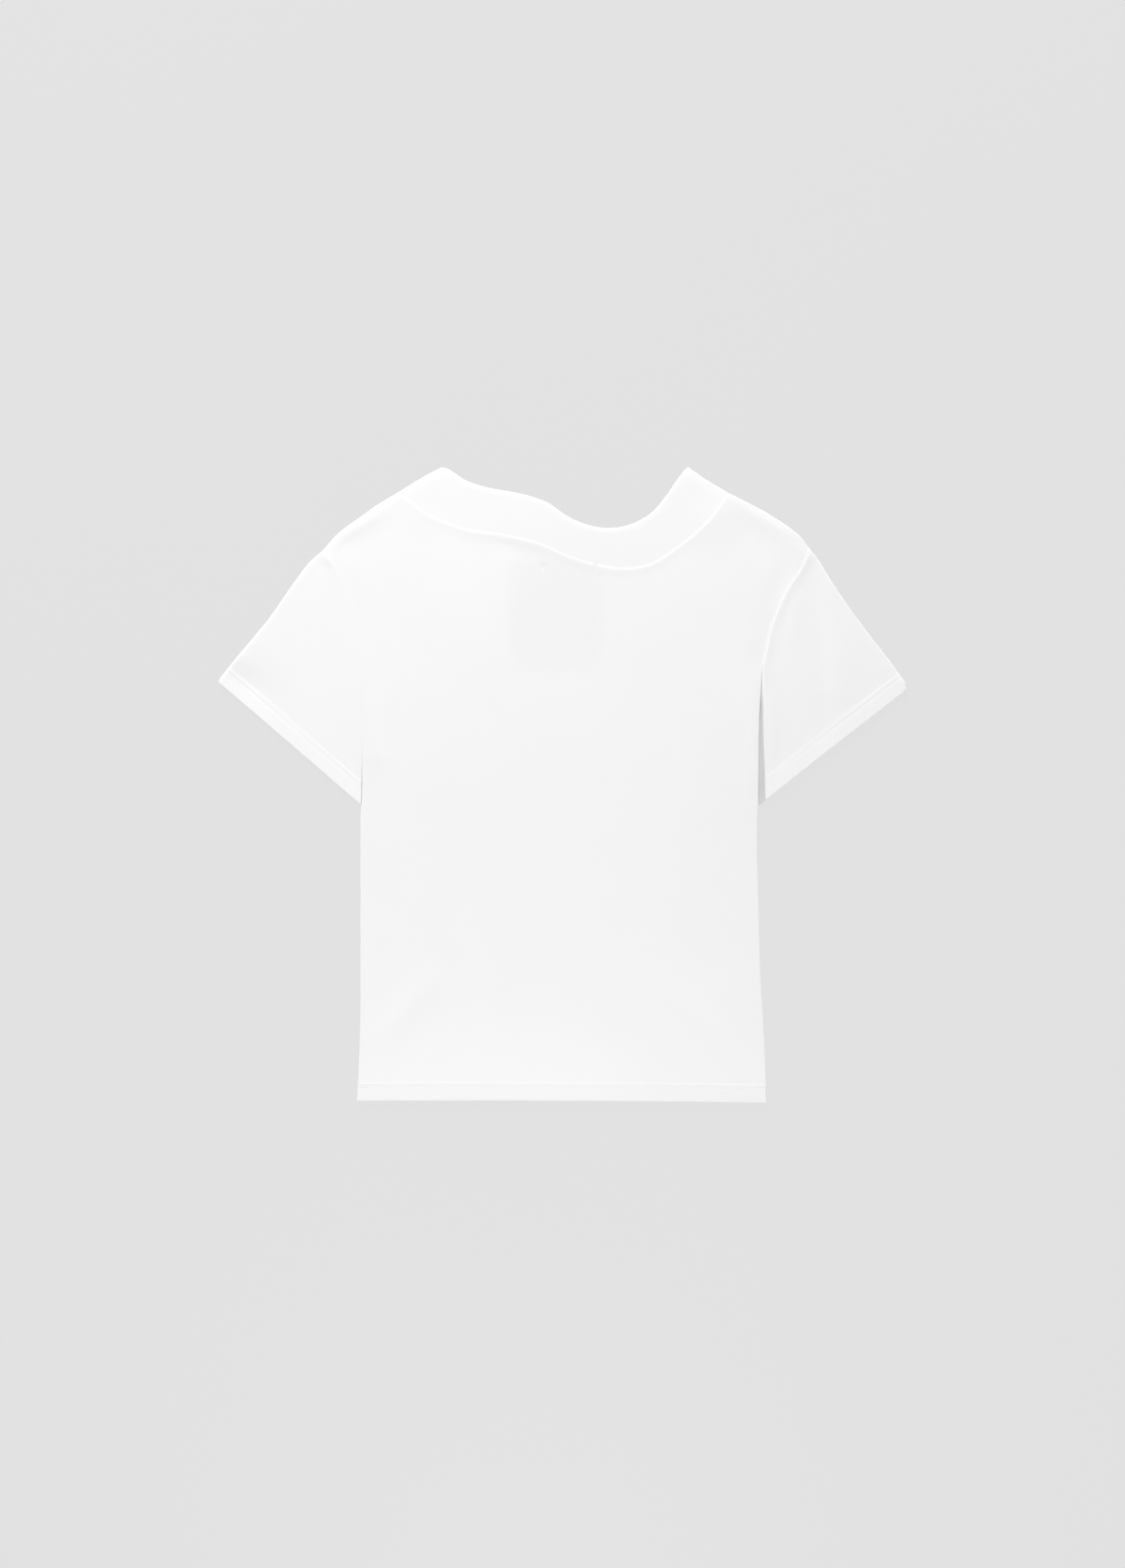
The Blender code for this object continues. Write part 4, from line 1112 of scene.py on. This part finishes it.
def jersey(name, hem=0.0, label=False, tacks=False, crease=False):
    """White cotton jersey, with the twin-needle hem's grooves and their painted shade, the label's
    painted shade and tacks, and the painted shade deep in the underarm crease, where a piece has
    them. hem is how much brighter the hem's doubled cloth is painted, and below zero how much darker."""
    material, maker = new_material(name)
    # place on the flat pattern: around the piece, and up it from its edge
    pattern = maker.node("ShaderNodeUVMap", {"uv_map": "cut"}, {})
    around, up = maker.in_mm(pattern)
    face = knit(maker, around, up)
    place = maker.node("ShaderNodeTexCoord", {}, {}, out="Object")
    cloudy = maker.noise(place, 14.0, 3.0)
    drawn_out = maker.node("ShaderNodeMapping", {}, {0: pattern, "Scale": (900.0, 60.0, 1.0)})
    slub = maker.noise(drawn_out, 1.0)
    fuzz = maker.noise(place, 1600.0, 2.0)
    # The knit's gaps are painted a little darker than its columns, partly its own look and partly
    # painted shade.
    tone = WHITE * (0.981 + cloudy * 0.026 + slub * 0.012) * (0.985 + face * 0.02)
    relief = face * KNIT + fuzz * FUZZ + slub * SLUB
    if hem:
        grooves = up.fall(NEEDLES[0], GROOVE_SPREAD) + up.fall(NEEDLES[1], GROOVE_SPREAD)
        pulls = (around * (2 * math.pi / STITCH)).sine()
        pulls = pulls * (up.fall(NEEDLES[0], PULL_SPREAD) + up.fall(NEEDLES[1], PULL_SPREAD))
        relief = relief - grooves * GROOVE + pulls * PULL
        # The grooves are painted darker, a painted shade in them.
        tone = tone * (1.0 - grooves * GROOVE_SHADE) * (1.0 + hem * (1.0 - up.step(*HEM_FADE)))
    if tacks:
        x, y = maker.in_mm(place)
        for tack_x, tack_y, half_width, half_length in TACKS:
            relief = relief - TACK_DEPTH * x.fall(tack_x, half_width) * y.fall(tack_y, half_length)
    # Painted shade: the back is painted darker over the hidden label inside it.
    if label:
        x = (x - LABEL_X) / LABEL_HALF_WIDTH
        y = (y - LABEL_Y) / LABEL_HALF_LENGTH
        away = (x * x * x * x + y * y * y * y).step(*LABEL_FADE)
        tone = tone * (1.0 - LABEL_SHADE * (1.0 - away))
    # Painted shade: the cloth is painted darker deep in the underarm crease.
    if crease:
        inner = maker.node("ShaderNodeAttribute", {"attribute_name": "crease"}, {}, out="Fac")
        tone = tone * (1.0 - CREASE_SHADE * inner)
    bump = maker.bump(relief, CLOTH_RELIEF)
    maker.set(Base_Color=maker.grey(tone), Roughness=0.9 + fuzz * 0.08, Metallic=0.0, Normal=bump)
    maker.set(Sheen_Weight=0.35, Sheen_Roughness=0.5, Specular_IOR_Level=0.2)
    return material


def thread(name):
    """White sewing thread with its twist."""
    material, maker = new_material(name)
    place = maker.node("ShaderNodeTexCoord", {}, {}, out="Object")
    bands = {"bands_direction": "DIAGONAL"}
    twist = maker.node("ShaderNodeTexWave", bands, {"Vector": place, "Scale": 900.0})
    bump = maker.bump(twist, THREAD_RELIEF)
    maker.set(Base_Color=maker.grey(THREAD_WHITE + twist * 0.03), Roughness=0.75 + twist * 0.1)
    maker.set(Metallic=0.0, Normal=bump, Sheen_Weight=0.05)
    return material


BACKLIGHT = 0.731    # the backdrop's own glow, which keeps the shadows round the garment faint


def backdrop(name, grey):
    material, maker = new_material(name)
    place = maker.node("ShaderNodeTexCoord", {}, {}, out="Object")
    tone = maker.noise(place, 3.0) * 0.004 + (grey - 0.002)
    maker.set(Base_Color=maker.grey(tone), Roughness=1.0, Specular_IOR_Level=0.0)
    maker.set(Emission_Color=(1.0, 1.0, 1.0, 1.0), Emission_Strength=BACKLIGHT)
    return material


# ---- the garment ----
JERSEY = jersey("white_jersey", hem=BODY_HEM)
BACK_JERSEY = jersey("white_back_jersey", hem=BODY_HEM, label=True, tacks=True)
SLEEVE_JERSEY = jersey("white_sleeve_jersey", hem=CUFF_HEM, crease=True)
RIB = jersey("white_neckband_jersey", tacks=True)
THREADS = thread("white_thread")


def pattern_of(grid, from_last=False):
    """Flat pattern of a piece: around it from its middle column, and up from its hem or cuff."""
    around, up = lengths(grid, 1), lengths(grid, 0)
    if from_last:
        up = up[-1:] - up
    around = around - around[:, around.shape[1] // 2][:, None]
    return np.stack([around, up], -1)


pieces = {}
for node, grid, outward, material in (
    ("back_panel", panel(True, BACK_NECK), 1, BACK_JERSEY),
    ("front_panel", panel(False, FRONT_NECK), -1, JERSEY),
):
    cut = pattern_of(grid)
    pieces[node] = cloth(node + "_cloth", grid, cut, CLOTH, material, cut[..., 1])
    pieces[node + "_stitches"] = twin_needle(
        node + "_hem_stitches", grid, cut[..., 1], CLOTH, outward, THREADS
    )

for side, node in ((LEFT, "sleeve_left"), (RIGHT, "sleeve_right")):
    # crease is how much painted shade each point of the sleeve gets in the underarm crease
    grid, crease = sleeve(side)
    cut = pattern_of(grid, from_last=True)
    pieces[node] = cloth(
        node + "_cloth", grid, cut, CLOTH, SLEEVE_JERSEY, cut[..., 1], tube=True, crease=crease
    )
    pieces[node + "_stitches"] = twin_needle(
        node + "_cuff_stitches", grid[::-1], cut[::-1, :, 1], CLOTH, side.sign, THREADS
    )

grid = neckband()
cut = pattern_of(grid)
from_neckline = cut[-1:, :, 1] - cut[..., 1]
pieces["neckband"] = cloth("neckband_cloth", grid, cut, BAND, RIB, from_neckline, tube=True)

# piece, cut width, cut length, area in square metres, what it lies on
CUTS = (
    ("front_panel", 0.474, 0.600, 0.203, ()),
    ("back_panel", 0.474, 0.600, 0.215, ("front_panel",)),
    ("sleeve_left", 0.400, 0.170, 0.036, ()),
    ("sleeve_right", 0.400, 0.172, 0.036, ()),
    ("neckband", 0.780, 0.036, 0.027, ()),
)
for node, width, length, area, under in CUTS:
    piece = pieces[node]
    extra = [pieces[node + "_stitches"]] if node + "_stitches" in pieces else []
    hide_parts(node)
    for part in [piece] + extra:
        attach(part, "root")
    [pieces[name] for name in under]

# ---- floor, light and camera ----
FLOOR_HALF = 3.0
FLOOR_GREY = 0.03
work = bmesh.new()
bmesh.ops.create_grid(work, x_segments=1, y_segments=1, size=FLOOR_HALF)
floor = finish_piece(work, "floor", backdrop("pale_backdrop", FLOOR_GREY))

# The key lamp, high on the left behind the neck, and a weak one below the hem:
# place, size, power.
LAMPS = (
    ("softbox", (-0.8, 2.4, 1.7), 0.9, 66.5),
    ("hem_light", (-0.05, -0.85, 0.38), 0.4, 1.7),
)
SKY = 0.393          # the light from all round, straight above
LOW_SKY = 0.684      # how much more comes from the sides
EDGE_FILL = 0.9      # how much more comes low from the right, where the key lamp leaves the edge dark

world = bpy.data.worlds.new("studio")
bpy.context.scene.world = world
world.use_nodes = True
sky = Maker(world.node_tree, "Background")
way = sky.node("ShaderNodeTexCoord", {}, {}, out="Generated")
sideways = sky.node("ShaderNodeSeparateXYZ", {}, {0: way})
height = Value(sky, sideways.socket.node.outputs["Z"])
low = 1.0 - height.step(0.0, 0.75)
fill = sideways.step(0.3, 1.0) * (1.0 - height.step(0.1, 0.6)) * EDGE_FILL
sky.set(Color=(1.0, 1.0, 1.0, 1.0), Strength=SKY + low * LOW_SKY + fill)

for name, place, size, power in LAMPS:
    light = bpy.data.lights.new(name, "AREA")
    light.energy = power
    light.size = size
    lamp = bpy.data.objects.new(name, light)
    lamp.location = place
    lamp.rotation_mode = "QUATERNION"
    lamp.rotation_quaternion = (-lamp.location).to_track_quat("-Z", "Y")
    bpy.context.scene.collection.objects.link(lamp)

VIEW_CENTRE = (-0.0009, 0.00045)
VIEW_HEIGHT = 3.0
FRAME_LENGTH = 1.5057    # length of the table that the picture's longer side takes in
SENSOR = 36.0
lens = bpy.data.cameras.new("camera")
lens.sensor_width = SENSOR
lens.lens = SENSOR * VIEW_HEIGHT / FRAME_LENGTH
camera = bpy.data.objects.new("camera", lens)
camera.location = (*VIEW_CENTRE, VIEW_HEIGHT)
bpy.context.scene.collection.objects.link(camera)
bpy.context.scene.camera = camera
bpy.context.scene.view_settings.view_transform = "Standard"
bpy.context.scene.view_settings.look = "None"
